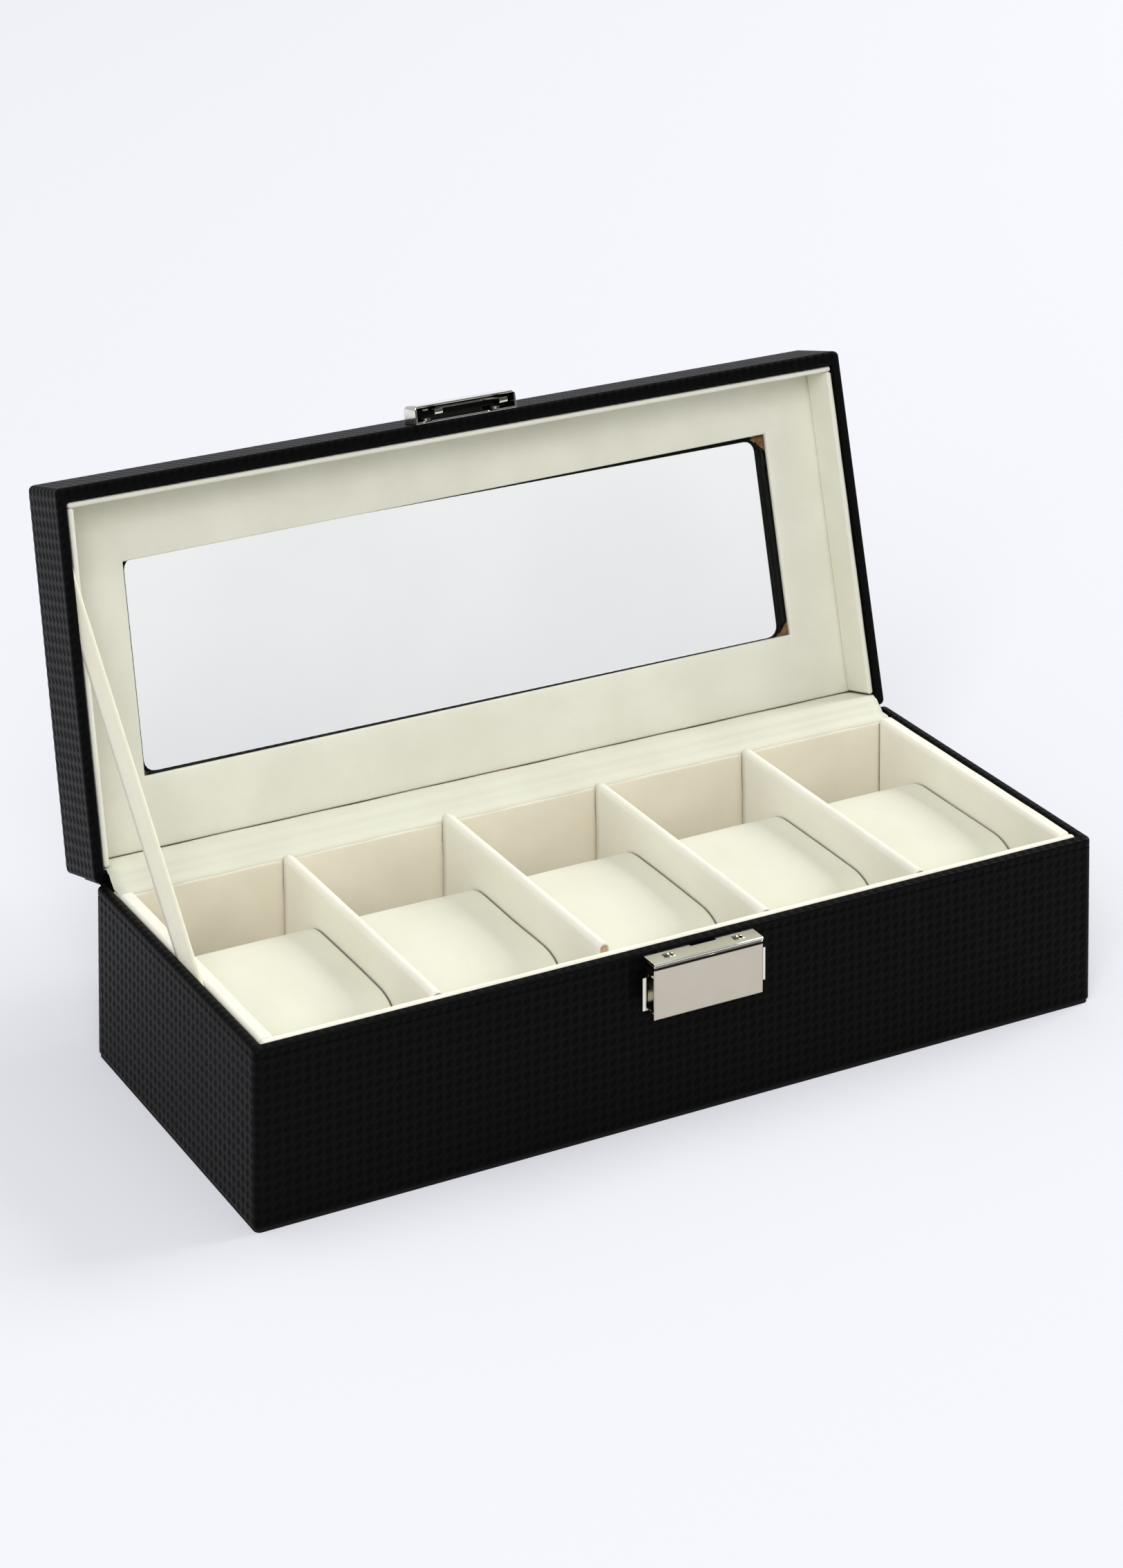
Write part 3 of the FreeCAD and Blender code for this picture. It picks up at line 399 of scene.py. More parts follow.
class Nodes:
    """Short ways to add and join the shader nodes of one owner, a material or the world."""

    def __init__(self, name, kind="Material"):
        owners = bpy.data.worlds if kind == "World" else bpy.data.materials
        self.owner = owners.new(name)
        self.owner.use_nodes = True
        self.tree = self.owner.node_tree
        self.tree.nodes.clear()
        self.output = self.add("ShaderNodeOutput" + kind)

    def add(self, kind, inputs=None, **settings):
        node = self.tree.nodes.new(kind)
        for key, value in settings.items():
            setattr(node, key, value)
        for key, value in (inputs or {}).items():
            self.feed(node.inputs[key], value)
        return node

    def feed(self, socket, value):
        if isinstance(value, bpy.types.NodeSocket):
            self.tree.links.new(value, socket)
        else:
            socket.default_value = value

    def math(self, operation, first, second=0.0, third=0.0):
        node = self.add("ShaderNodeMath", operation=operation)
        for socket, value in zip(node.inputs, (first, second, third)):
            self.feed(socket, value)
        return node.outputs[0]

    def ramp(self, value, low, high, start=0.0, end=1.0):
        """A smooth step of a value from low to high, between start and end."""
        node = self.add("ShaderNodeMapRange", interpolation_type="SMOOTHSTEP")
        for key, given in zip(("Value", "From Min", "From Max", "To Min", "To Max"),
                              (value, low, high, start, end)):
            self.feed(node.inputs[key], given)
        return node.outputs["Result"]

    def mix(self, share, first, second):
        node = self.add("ShaderNodeMix", data_type="RGBA")
        self.feed(node.inputs[0], share)
        self.feed(node.inputs[6], first)
        self.feed(node.inputs[7], second)
        return node.outputs[2]

    def parts(self, vector):
        """The three numbers of a vector."""
        return self.add("ShaderNodeSeparateXYZ", {"Vector": vector}).outputs

    def sheet(self):
        """Where a point lies on the flat leather or ribbon, in millimetres."""
        return self.parts(self.add("ShaderNodeUVMap", uv_map="sheet").outputs[0])

    def noise(self, scale, detail=2.0, stretch=None):
        """Noise over the object's own places. scale is in waves per metre."""
        vector = self.add("ShaderNodeTexCoord").outputs["Object"]
        if stretch is not None:
            mapping = self.add("ShaderNodeMapping", {"Vector": vector, "Scale": stretch})
            vector = mapping.outputs[0]
        node = self.add("ShaderNodeTexNoise", {"Vector": vector, "Scale": scale, "Detail": detail})
        return node.outputs["Fac"]

    def openness(self, distance, low=0.0, high=1.0):
        """0 in crevices narrower than the distance in millimetres, and 1 on open faces: the mask where shade
        is painted.
        """
        node = self.add("ShaderNodeAmbientOcclusion", {"Distance": distance * MM}, samples=4)
        return self.ramp(node.outputs["AO"], low, high)

    def bump(self, height, distance, strength):
        inputs = {"Height": height, "Distance": distance, "Strength": strength}
        return self.add("ShaderNodeBump", inputs).outputs[0]

    def principled(self, **inputs):
        names = {key.replace("_", " "): value for key, value in inputs.items()}
        shader = self.add("ShaderNodeBsdfPrincipled", names)
        self.feed(self.output.inputs["Surface"], shader.outputs[0])
        return self.owner

    def mixed(self, share, first, second):
        """Puts two shaders on the output, the second by its share."""
        both = self.add("ShaderNodeMixShader", {0: share, 1: first.outputs[0], 2: second.outputs[0]})
        self.feed(self.output.inputs["Surface"], both.outputs[0])
        return self.owner


def dimples(nodes):
    """1 in the leather's dimples and 0 on the raised net between them."""
    place = nodes.sheet()
    turn = 2 * math.pi / PITCH
    across = nodes.math("MULTIPLY", place[0], turn)
    up = nodes.math("MULTIPLY", place[1], turn)
    slant = nodes.math("COSINE", nodes.math("SUBTRACT", across, up))
    square = nodes.math("ADD", nodes.math("COSINE", across), nodes.math("COSINE", up))
    wave = nodes.math("MULTIPLY_ADD", slant, DIMPLE_SLANT, square)
    return nodes.ramp(wave, DIMPLE_EDGE, DIMPLE_FLOOR)


def black_leather():
    """Black artificial leather, embossed with a net of small slanting dimples."""
    nodes = Nodes("black_leather")
    dimple = dimples(nodes)
    grain = nodes.noise(2600.0, 3.0)
    cloud = nodes.noise(38.0, 2.0)
    net = nodes.mix(cloud, (0.0020, 0.0020, 0.0021, 1), (0.0032, 0.0032, 0.0033, 1))
    colour = nodes.mix(dimple, net, (0.0019, 0.0019, 0.0020, 1))
    height = nodes.math("MULTIPLY_ADD", dimple, -1.0, nodes.math("MULTIPLY", grain, 0.10))
    return nodes.principled(
        Base_Color=colour,
        Roughness=nodes.math("MULTIPLY_ADD", grain, 0.12, nodes.ramp(dimple, 0.0, 1.0, 0.33, 0.42)),
        IOR=LEATHER_IOR,
        Specular_IOR_Level=nodes.ramp(dimple, 0.0, 1.0, 0.47, 0.31),
        Normal=nodes.bump(height, 0.12 * MM, 0.55),
    )


def velvet(name, raised, deep, crevice_shade_width=1.0):
    """Short-pile velvet with faint brushed clouds, and painted shade in crevices narrower than a width in
    millimetres.
    """
    nodes = Nodes(name)
    nap = nodes.noise(5200.0, 2.0)
    brushed = nodes.noise(55.0, 3.0, stretch=(1.0, 0.55, 1.0))
    shade = nodes.math("MULTIPLY_ADD", nap, 0.45, nodes.math("MULTIPLY", brushed, 0.55))
    cloth = nodes.mix(nodes.ramp(shade, 0.34, 0.66), deep, raised)
    if crevice_shade_width:
        # Painted shade: narrow crevices are painted brownish dark.
        cloth = nodes.mix(nodes.openness(crevice_shade_width, 0.15, 0.6), CREVICE_SHADE, cloth)
    return nodes.principled(
        Base_Color=cloth,
        Roughness=nodes.math("MULTIPLY_ADD", nap, 0.10, 0.86),
        Sheen_Weight=0.25,
        Sheen_Roughness=0.45,
        Sheen_Tint=(1.0, 0.985, 0.94, 1),
        Specular_IOR_Level=0.12,
        Normal=nodes.bump(nap, 0.10 * MM, 0.35),
    )


def ribbon_weave():
    """Cream ribbon with fine ribs across it."""
    nodes = Nodes("cream_ribbon")
    ribs = nodes.math("SINE", nodes.math("MULTIPLY", nodes.sheet()[0], 2 * math.pi / RIB_PITCH))
    threads = nodes.noise(1800.0, 2.0)
    tone = nodes.math("MULTIPLY_ADD", ribs, 0.2, threads)
    return nodes.principled(
        Base_Color=nodes.mix(tone, (0.84, 0.80, 0.60, 1), (0.95, 0.92, 0.74, 1)),
        Roughness=nodes.math("MULTIPLY_ADD", threads, 0.15, 0.5),
        Sheen_Weight=0.2,
        Normal=nodes.bump(ribs, 0.05 * MM, 0.5),
    )


def fibreboard(name, dark, light):
    """Pressed board with short fibres and a raw, rough face."""
    nodes = Nodes(name)
    fibre = nodes.noise(900.0, 4.0, stretch=(0.35, 1.0, 1.0))
    specks = nodes.noise(4200.0, 1.0)
    tone = nodes.math("MULTIPLY_ADD", specks, 0.4, nodes.math("MULTIPLY", fibre, 0.6))
    return nodes.principled(
        Base_Color=nodes.mix(nodes.ramp(tone, 0.35, 0.65), dark, light),
        Roughness=nodes.math("MULTIPLY_ADD", fibre, 0.2, 0.75),
        Specular_IOR_Level=0.2,
        Normal=nodes.bump(fibre, 0.15 * MM, 0.5),
    )


def metal(name, colour, roughness, brushed=0.0, hollow_shade=(1.5, 0.25, 0.62), top=None):
    """Plated steel, a little cloudy, with hairline wear, painted shade in its hollows, and painted light at
    the bend at its top if given.
    """
    nodes = Nodes(name)
    cloud = nodes.noise(110.0, 2.0)
    hair = nodes.noise(2500.0, 2.0, stretch=(0.06, 1.0, 1.0))
    rough = nodes.math("MULTIPLY_ADD", cloud, 0.03, roughness)
    rough = nodes.math("MULTIPLY_ADD", hair, brushed, rough)
    darker = tuple(0.96 * part for part in colour[:3]) + (1,)
    plating = nodes.mix(nodes.ramp(cloud, 0.3, 0.7), darker, colour)
    if top is not None:
        plating = painted_bend_light(nodes, plating, top)
    return nodes.principled(
        # Hollows are painted dark: painted shade.
        Base_Color=nodes.mix(nodes.openness(*hollow_shade), PAINTED_DARK, plating),
        Metallic=1.0,
        Roughness=rough,
        Normal=nodes.bump(hair, 0.004 * MM, 0.1),
    )


def painted_bend_light(nodes, plating, top):
    """Painted light where a plate bends in at its top: a painted dark reflection line below the bend, and a
    painted highlight on its upward faces.
    """
    height = nodes.parts(nodes.add("ShaderNodeTexCoord").outputs["Object"])[2]
    below = nodes.math("SUBTRACT", top * MM, height)
    start = nodes.ramp(below, 0.25 * MM, 0.45 * MM)
    line = nodes.math("MULTIPLY", start, nodes.ramp(below, 1.3 * MM, 1.0 * MM))
    # A painted dark reflection line below the bend.
    with_painted_reflection = nodes.mix(line, plating, PAINTED_DARK)
    upward = nodes.parts(nodes.add("ShaderNodeNewGeometry").outputs["Normal"])[2]
    # A painted highlight on faces that look upwards.
    return nodes.mix(nodes.ramp(upward, 0.55, 0.85), with_painted_reflection, (0.98, 0.96, 0.88, 1))


def clear_pane():
    """A clear acrylic pane: see-through, with a mirror film that strengthens at a slant, and smudges."""
    nodes = Nodes("clear_pane")
    smudge = nodes.noise(14.0, 3.0)
    tint = nodes.mix(nodes.ramp(smudge, 0.35, 0.70), (0.988, 0.990, 0.968, 1), (0.968, 0.972, 0.952, 1))
    clear = nodes.add("ShaderNodeBsdfTransparent", {"Color": tint})
    mirror = nodes.add("ShaderNodeBsdfGlossy", {
        "Color": (0.95, 0.96, 0.97, 1),
        "Roughness": nodes.ramp(smudge, 0.45, 0.75, 0.03, 0.12),
    })
    behind = nodes.add("ShaderNodeNewGeometry").outputs["Backfacing"]
    slant = nodes.add("ShaderNodeFresnel", {"IOR": nodes.ramp(behind, 0.0, 1.0, PANE_IOR, 1 / PANE_IOR)})
    return nodes.mixed(slant.outputs[0], clear, mirror)


def underside_sheet():
    """Black flocked paper under the box."""
    nodes = Nodes("underside_sheet")
    flock = nodes.noise(6000.0, 2.0)
    return nodes.principled(
        Base_Color=nodes.mix(flock, (0.008, 0.008, 0.009, 1), (0.02, 0.02, 0.021, 1)),
        Roughness=nodes.math("MULTIPLY_ADD", flock, 0.1, 0.85),
        Specular_IOR_Level=0.1,
        Normal=nodes.bump(flock, 0.1 * MM, 0.5),
    )


LEATHER = black_leather()
# One cream velvet in tones of painted light: the base's and back lining's are lifted as painted light for
# their deep places, the back lining's warmer as painted shade, and the pillows' darker as painted shade
# against the stronger light on their tops.
LINING = velvet("cream_velvet", (0.810, 0.805, 0.700, 1), (0.745, 0.735, 0.630, 1), crevice_shade_width=0)
BASE_LINING = velvet("base_velvet", (0.875, 0.860, 0.755, 1), (0.810, 0.790, 0.685, 1))
BACK_LINING = velvet("back_velvet", (0.890, 0.840, 0.705, 1), (0.825, 0.770, 0.635, 1))
CUSHION = velvet("pillow_velvet", (0.745, 0.745, 0.625, 1), (0.695, 0.690, 0.565, 1), crevice_shade_width=1.6)
STRIP = velvet("hinge_velvet", (0.715, 0.720, 0.605, 1), (0.665, 0.665, 0.550, 1), crevice_shade_width=0)
RIBBON = ribbon_weave()
BOARD = fibreboard("fibreboard", (0.13, 0.065, 0.025, 1), (0.52, 0.30, 0.13, 1))
CORE = fibreboard("pale_board", (0.50, 0.33, 0.19, 1), (0.68, 0.48, 0.31, 1))
NICKEL = metal("nickel", BRIGHT_NICKEL, 0.07, hollow_shade=(3.5, 0.25, 0.50))
BUTTON_TOP = base_box("latch_button")[1][2]
# The button's face gets a painted dark reflection and a painted highlight at its bend.
FACE_NICKEL = metal("face_nickel", (0.640, 0.585, 0.480, 1), 0.07, top=BUTTON_TOP)
# The strike's shell gets wide, deep painted shade inside.
SHELL_NICKEL = metal("shell_nickel", BRIGHT_NICKEL, 0.07, hollow_shade=(8.0, 0.40, 0.85))
NAIL = metal("nail_steel", (0.60, 0.58, 0.55, 1), 0.28)
SPRING = metal("spring_steel", (0.42, 0.43, 0.45, 1), 0.25, 0.15)
PANE = clear_pane()
UNDERSIDE = underside_sheet()


# ---- leather wraps

def sheet_place(points, normals):
    """Where points lie on the leather, in millimetres across and up the face each belongs to."""
    x, y, z = points.T
    axis = np.abs(normals).argmax(1)
    side = np.sign(np.take_along_axis(normals, axis[:, None], 1))[:, 0]
    across = np.select([axis == 0, axis == 1], [side * y, -side * x], side * x)
    up = np.where(axis == 2, y, z)
    return np.column_stack([across, up])


def dimple_depth(place):
    """The same dimples as the material's, as a height of 0 to 1."""
    across, up = (place * (2 * math.pi / PITCH)).T
    wave = np.cos(across) + np.cos(up) + DIMPLE_SLANT * np.cos(across - up)
    share = np.clip((wave - DIMPLE_EDGE) / (DIMPLE_FLOOR - DIMPLE_EDGE), 0, 1)
    return share * share * (3 - 2 * share)


def embossed(points, faces):
    """Presses the dimples into a leather mesh, fading out over its edges."""
    normals = vertex_normals(points, faces)
    flatness = np.clip((np.abs(normals).max(1) - 0.85) / 0.13, 0, 1)
    sink = DIMPLE_DEPTH * flatness * dimple_depth(sheet_place(points, normals))
    return points - normals * sink[:, None]


def corner_places(points, faces):
    """Each face corner's place on the sheet, taken from the way its own face looks."""
    normals = np.repeat(face_normals(points, faces), 4, axis=0)
    return sheet_place(points[faces.ravel()], normals)


def wall_heights(low, high):
    """Heights of the rings up a wall, on the same grid as the dimples."""
    return low + cuts(low, high, FINE_STEP) * (high - low)


def dimple_cuts(outer):
    """Cuts along the front and the side of a rectangle, on the same grid as the dimples."""
    low_x, high_x, low_y, high_y, corner = outer
    return cuts(low_x + corner, high_x - corner, FINE_STEP), cuts(low_y + corner, high_y - corner, FINE_STEP)


def base_wrap_rows(outer, bottom, top, board_bottom, board_top, rim_width):
    """Rings of the base's leather: turned in underneath, up the walls and over the rim."""
    foot_round = 0.6
    rim_round = 1.2
    lip_round = 0.4
    rim_end = rim_width + TURNED_SKIN
    crease = top - CREASE_DROP
    rows = [(TURNED_UNDER, bottom), (TURNED_UNDER / 2, bottom)]
    rows += [tuple(p) for p in arc((foot_round, bottom + foot_round), foot_round, 270, 180, 3)]
    rows += [(0.0, height) for height in wall_heights(bottom + foot_round, crease - 0.5)[1:]]
    rows += [(0.0, crease - 0.3), (CREASE_DEPTH, crease), (0.0, crease + 0.3)]
    rows += [(0.0, height) for height in wall_heights(crease + 0.5, top - rim_round)[1:-1]]
    rows += [tuple(p) for p in arc((rim_round, top - rim_round), rim_round, 180, 90, 4)]
    rows += [(inset, top) for inset in np.linspace(rim_round, rim_end - lip_round, 4)[1:-1]]
    rows += [tuple(p) for p in arc((rim_end - lip_round, top - lip_round), lip_round, 90, 0, 2)]
    rows += [(rim_end, top - TURNED_DEPTH), (rim_width, top - TURNED_DEPTH), (rim_width, board_top)]
    rows += [(SHEET, board_top), (SHEET, board_bottom), (TURNED_UNDER, board_bottom)]
    return [(shrunk(outer, inset), height) for inset, height in rows]


def base_leather_wrap():
    """The base's cover, one sheet folded round the walls."""
    low, high = base_box("base_cover")
    wall_low, wall_high = base_box("base_left_wall")
    outer = np.array([low[0], high[0], low[1], high[1], CORNER_ROUND])
    rim_width = wall_high[0] - low[0]
    rows = base_wrap_rows(outer, low[2], high[2], wall_low[2], wall_high[2], rim_width)
    points, faces = ring_solid(rows, *dimple_cuts(outer))
    places = corner_places(points, faces)
    piece = make_piece("base_leather_wrap", embossed(points, faces), faces, LEATHER, places)
    settle(piece, "base", "base_cover")


def window_outline():
    """The window where it is narrowest, at the top board's lower face."""
    low, high = lid_box("window_pane")
    left, front = low[:2] + PANE_LAP
    right, back = high[:2] - PANE_LAP
    return np.array([left, right, front, back, WINDOW_ROUND])


def rim_opening():
    """The lid's inside edge, where the leather of the rim ends."""
    left_edge = lid_box("lid_left_wall")[1][0]
    right_edge = lid_box("lid_right_wall")[0][0]
    front_edge = lid_box("lid_front_wall")[1][1]
    back_edge = lid_box("lid_back_wall")[0][1]
    return np.array([left_edge, right_edge, front_edge, back_edge, 0.5])


def blunted(start, corner, end, steps=3):
    """A curve that rounds off the corner between two points of a profile."""
    shares = np.linspace(0, 1, steps + 1)[:, None]
    start, corner, end = np.array(start), np.array(corner), np.array(end)
    return (1 - shares) ** 2 * start + 2 * shares * (1 - shares) * corner + shares ** 2 * end


def lid_rim_rows(outer, opening, bottom, board_bottom):
    """Rings of the lid's leather from inside its walls out over the rim."""
    turned = shrunk(opening, TURNED_SKIN)
    outside = shrunk(outer, LID_RIM_ROUND)
    rows = [(opening, board_bottom), (opening, bottom + TURNED_DEPTH), (turned, bottom + TURNED_DEPTH)]
    rows += [(turned, bottom + 0.3)]
    rows += [(turned + (outside - turned) * share, bottom) for share in (0.08, 0.36, 0.68)]
    return rows + edge_rows(outer, (LID_RIM_ROUND, bottom + LID_RIM_ROUND), LID_RIM_ROUND, 270, 180, 3)


def window_side_rows(window, top, board_bottom, pane_top):
    """Rings from the lid's top down the window's leaning sides, and back out under the board."""
    edge = np.array([WINDOW_FLARE, top])
    foot = np.array([0.0, board_bottom])
    slope = edge - foot
    ease = 0.8
    blunt = 0.2
    lap = 1.0
    profile = [*blunted(edge + (ease, 0), edge, edge - slope / np.linalg.norm(slope) * ease)]
    profile += [edge - slope * share for share in (0.4, 0.7)]
    profile += [*blunted(foot + slope * 0.05, foot, foot - (0, blunt), 2)]
    profile += [(0.0, pane_top + blunt), (blunt, pane_top), (lap, pane_top), (lap, board_bottom)]
    profile += [(SHEET, board_bottom)]
    return [(shrunk(window, -growth), height) for growth, height in profile]


def lid_leather_wrap():
    """The lid's cover: from the rim round the walls and over the top, down into the window."""
    low, high = lid_box("lid_cover")
    frame_low, frame_high = lid_box("lid_top_frame")
    board_bottom = lid_box("lid_front_wall")[0][2]
    pane_top = lid_box("window_pane")[1][2]
    outer = np.array([low[0], high[0], low[1], high[1], CORNER_ROUND])
    window = window_outline()
    round_start = high[2] - LID_TOP_ROUND
    rows = lid_rim_rows(outer, rim_opening(), low[2], board_bottom)
    rows += [(outer, height) for height in wall_heights(low[2] + LID_RIM_ROUND, round_start)[1:-1]]
    rows += edge_rows(outer, (LID_TOP_ROUND, round_start), LID_TOP_ROUND, 180, 90, 5)
    side_rows = window_side_rows(window, high[2], frame_low[2], pane_top)
    top_steps = int((window[0] - low[0] - WINDOW_FLARE) / FINE_STEP * 1.15)
    for share in np.linspace(0, 1, top_steps)[1:-1]:
        rows.append((shrunk(outer, LID_TOP_ROUND) * (1 - share) + side_rows[0][0] * share, high[2]))
    rows += side_rows
    behind = SHEET + WINDOW_FLARE * (frame_high[2] - frame_low[2]) / (high[2] - frame_low[2])
    rows += [(shrunk(window, -behind), frame_high[2])]
    rows += [(shrunk(outer, SHEET), frame_high[2]), (shrunk(outer, SHEET), board_bottom)]
    points, faces = ring_solid(rows, *dimple_cuts(outer))
    points = embossed(points, faces)
    for flap_points, flap_faces in window_flaps(window, pane_top, frame_low[2]):
        faces = np.vstack([faces, flap_faces + len(points)])
        points = np.vstack([points, flap_points])
    places = corner_places(points, faces)
    piece = make_piece("lid_leather_wrap", swing(points), faces, LEATHER, places)
    settle(piece, "lid", "lid_cover")


def window_flaps(window, low, high):
    """Four flaps of leather glued under the top board. Their ends slant, and leave the corners bare."""
    left, right, front, back, _ = window
    corners = np.array([(left, front), (right, front), (right, back), (left, back)])
    for number in range(4):
        start, end = corners[number], corners[(number + 1) % 4]
        along = (end - start) / np.linalg.norm(end - start)
        outward = np.array([along[1], -along[0]])
        grid = []
        for reach in np.linspace(0.5, FLAP_REACH, FLAP_ROWS):
            first = start + (outward + along) * reach
            last = end + (outward - along) * reach
            grid.append(first + np.linspace(0, 1, FLAP_COLUMNS)[:, None] * (last - first))
        flat = np.vstack(grid)
        under = np.column_stack([flat, np.full(len(flat), low + 0.05)])
        under[:, 2] += 0.12 * swell(under, FLAP_WAVE) + 0.12
        over = np.column_stack([flat, np.full(len(flat), high)])
        yield np.vstack([under, over]), two_skins(FLAP_ROWS, FLAP_COLUMNS)


# ---- hinge strips and ribbon

def strip_cuts(low, high, step=VELVET_STEP):
    """Even stations along a side, about a step apart."""
    return np.linspace(low, high, int(round((high - low) / step)) + 1)


def hinge_leather_strip():
    """The outside hinge: leather glued down the base's back and along the lid's back."""
    low, high = base_box("hinge_leather")
    hinge = np.array([PIVOT_Y, PIVOT_Z])
    leg = PIVOT_Z - low[2]
    fold = 1.8  # from the hinge line to where the strip starts to turn
    soft = 2.0  # and to the end of the stretch passed to bend
    lid_way = swing(np.array([0, PIVOT_Y, PIVOT_Z + 1.0]))[1:] - hinge
    down = hinge - np.linspace(leg, fold, 18)[:, None] * (0, 1)
    out = hinge + np.linspace(fold, leg, 18)[:, None] * lid_way
    path = np.vstack([down, blunted(down[-1], hinge, out[0], 4)[1:-1], out])
    across = strip_cuts(low[0], high[0], FINE_STEP * 2)
    points, faces = strip(path, 0.5, across)
    lengths = np.concatenate([[0], np.cumsum(np.linalg.norm(np.diff(path, axis=0), axis=1))])
    section = np.concatenate([lengths, lengths[::-1]])
    place = np.column_stack([points[:, 0], np.tile(section, len(across))])
    piece = make_piece("hinge_leather_strip", points, faces, LEATHER, place[faces.ravel()])
    bend(piece, "hinge_leather", hinge - (0, soft), hinge + soft * lid_way)


def hinge_velvet_strip():
    """The inside hinge: velvet from the back lining's rounded top over to the lid's back wall."""
    lining_low, lining_high = base_box("back_lining")
    cloth_low, cloth_high = base_box("hinge_cloth")
    thickness = 0.4
    edge = 1.5
    glued = 14.0  # up the lid's back wall
    top = lining_high[2]
    radii = np.linspace(edge - 0.35, edge + thickness, 7)[:, None]
    angles = np.radians(np.linspace(185, 90, 7))
    centre = np.array([lining_low[1] + edge, top - edge])
    wrap = centre + radii * np.column_stack([np.cos(angles), np.sin(angles)])
    rest_end = np.array([PIVOT_Y - 4.2, top + thickness])
    shelf = rim_opening()[3] - thickness
    start = PIVOT_Z + thickness
    corner, inner = swing(np.array([[0, shelf, start], [0, shelf, start + glued]]))[:, 1:]
    shares = np.linspace(0, 1, 13)[1:-1]
    free = rest_end + (corner - rest_end) * shares[:, None]
    free[:, 1] += np.sin(math.pi * shares) * (0.5 + 0.28 * np.sin(4 * math.pi * shares))
    path = np.vstack([wrap, np.linspace(wrap[-1], rest_end, 4)[1:], free, np.linspace(corner, inner, 8)])
    points, faces = strip(path, thickness, strip_cuts(cloth_low[0], cloth_high[0]))
    loose = np.clip((points[:, 1] - rest_end[0]) / 3, 0, 1)
    points[:, 2] += 0.10 * swell(points, STRIP_WAVE) * loose
    piece = make_piece("hinge_velvet_strip", points, faces, STRIP)
    bend(piece, "hinge_cloth", rest_end, corner)


def ribbon():
    """The ribbon that holds the lid open, held between the walls and the linings on the left."""
    low, high = base_box("ribbon_stay")
    foot = np.array([-5.0, 52.0])
    top = swing(np.array([0, PIVOT_Y - 77.0, PIVOT_Z]))[1:]
    tail = 15.0
    width = 12.5
    length = np.linalg.norm(top - foot)
    along = (top - foot) / length
    side = np.array([-along[1], along[0]])
    stations = np.linspace(-tail, length + tail, 60)
    shares = np.linspace(-0.5, 0.5, 7)
    sheet = np.array([[station, share * width] for station in stations for share in shares])
    flat = foot + sheet @ np.array([along, side])
    points = np.vstack([np.column_stack([np.full(len(flat), x), flat]) for x in (low[0], high[0])])
    faces = two_skins(len(stations), len(shares))
    piece = make_piece("ribbon", points, faces, RIBBON, np.tile(sheet, (2, 1))[faces.ravel()])
    bend(piece, "ribbon_stay", foot, top)


# ---- velvet boards

def base_linings():
    """The four velvet boards round the inside of the base, and the velvet floor."""
    for side in ("front", "back", "left", "right"):
        low, high = base_box(side + "_lining")
        half = min(high[0] - low[0], high[1] - low[1]) / 2
        points, faces = rounded_board(low, high, min(half - 0.02, 1.5))
        piece = make_piece(side + "_velvet", points, faces, BACK_LINING if side == "back" else BASE_LINING)
        settle(piece, "base", side + "_lining")
    points, faces = rounded_board(*base_box("floor_lining"), 0.35, step=8.0)
    settle(make_piece("floor_velvet", points, faces, LINING), "base", "floor_lining")


def divider_velvets():
    """Each divider's velvet, folded over its board. It stands a hair off the back lining low down."""
    for number in range(1, 5):
        sleeve = f"divider_{number}_sleeve"
        low, high = base_box(sleeve)
        points, faces = folded_sleeve(low, high, *base_box(f"divider_{number}_core"))
        lowness = np.clip((high[2] - SLIT_TOP - points[:, 2]) / SLIT_FADE, 0, 1)
        near_back = np.clip((points[:, 1] - high[1] + 12.0) / 12.0, 0, 1)
        points[:, 1] -= ((SLIT + SEATED) * lowness - SEATED) * near_back
        piece = make_piece(f"divider_{number}_velvet", points, faces, BASE_LINING)
        settle(piece, "base", sleeve)


def folded_sleeve(low, high, core_low, core_high):
    """A U of velvet over a board, open below: an outer and an inner skin joined at their edges."""
    half = (high[0] - low[0]) / 2
    inner = (core_high[0] - core_low[0]) / 2
    middle = (high[0] + low[0]) / 2

    def skin(half_width, top):
        heights = np.linspace(low[2], top - half_width, 12)
        left = np.column_stack([np.full(12, -half_width), heights])
        over = arc((0, top - half_width), half_width, 180, 0, 8)[1:-1]
        return np.vstack([left, over, left[::-1] * (-1, 1)])

    def place(y, section):
        return np.column_stack([middle + section[:, 0], np.full(len(section), y), section[:, 1]])

    outside = skin(half, high[2])
    inside = skin(inner, high[2] - (half - inner))
    return swept(outside, inside, strip_cuts(low[1], high[1], 3.0), place)


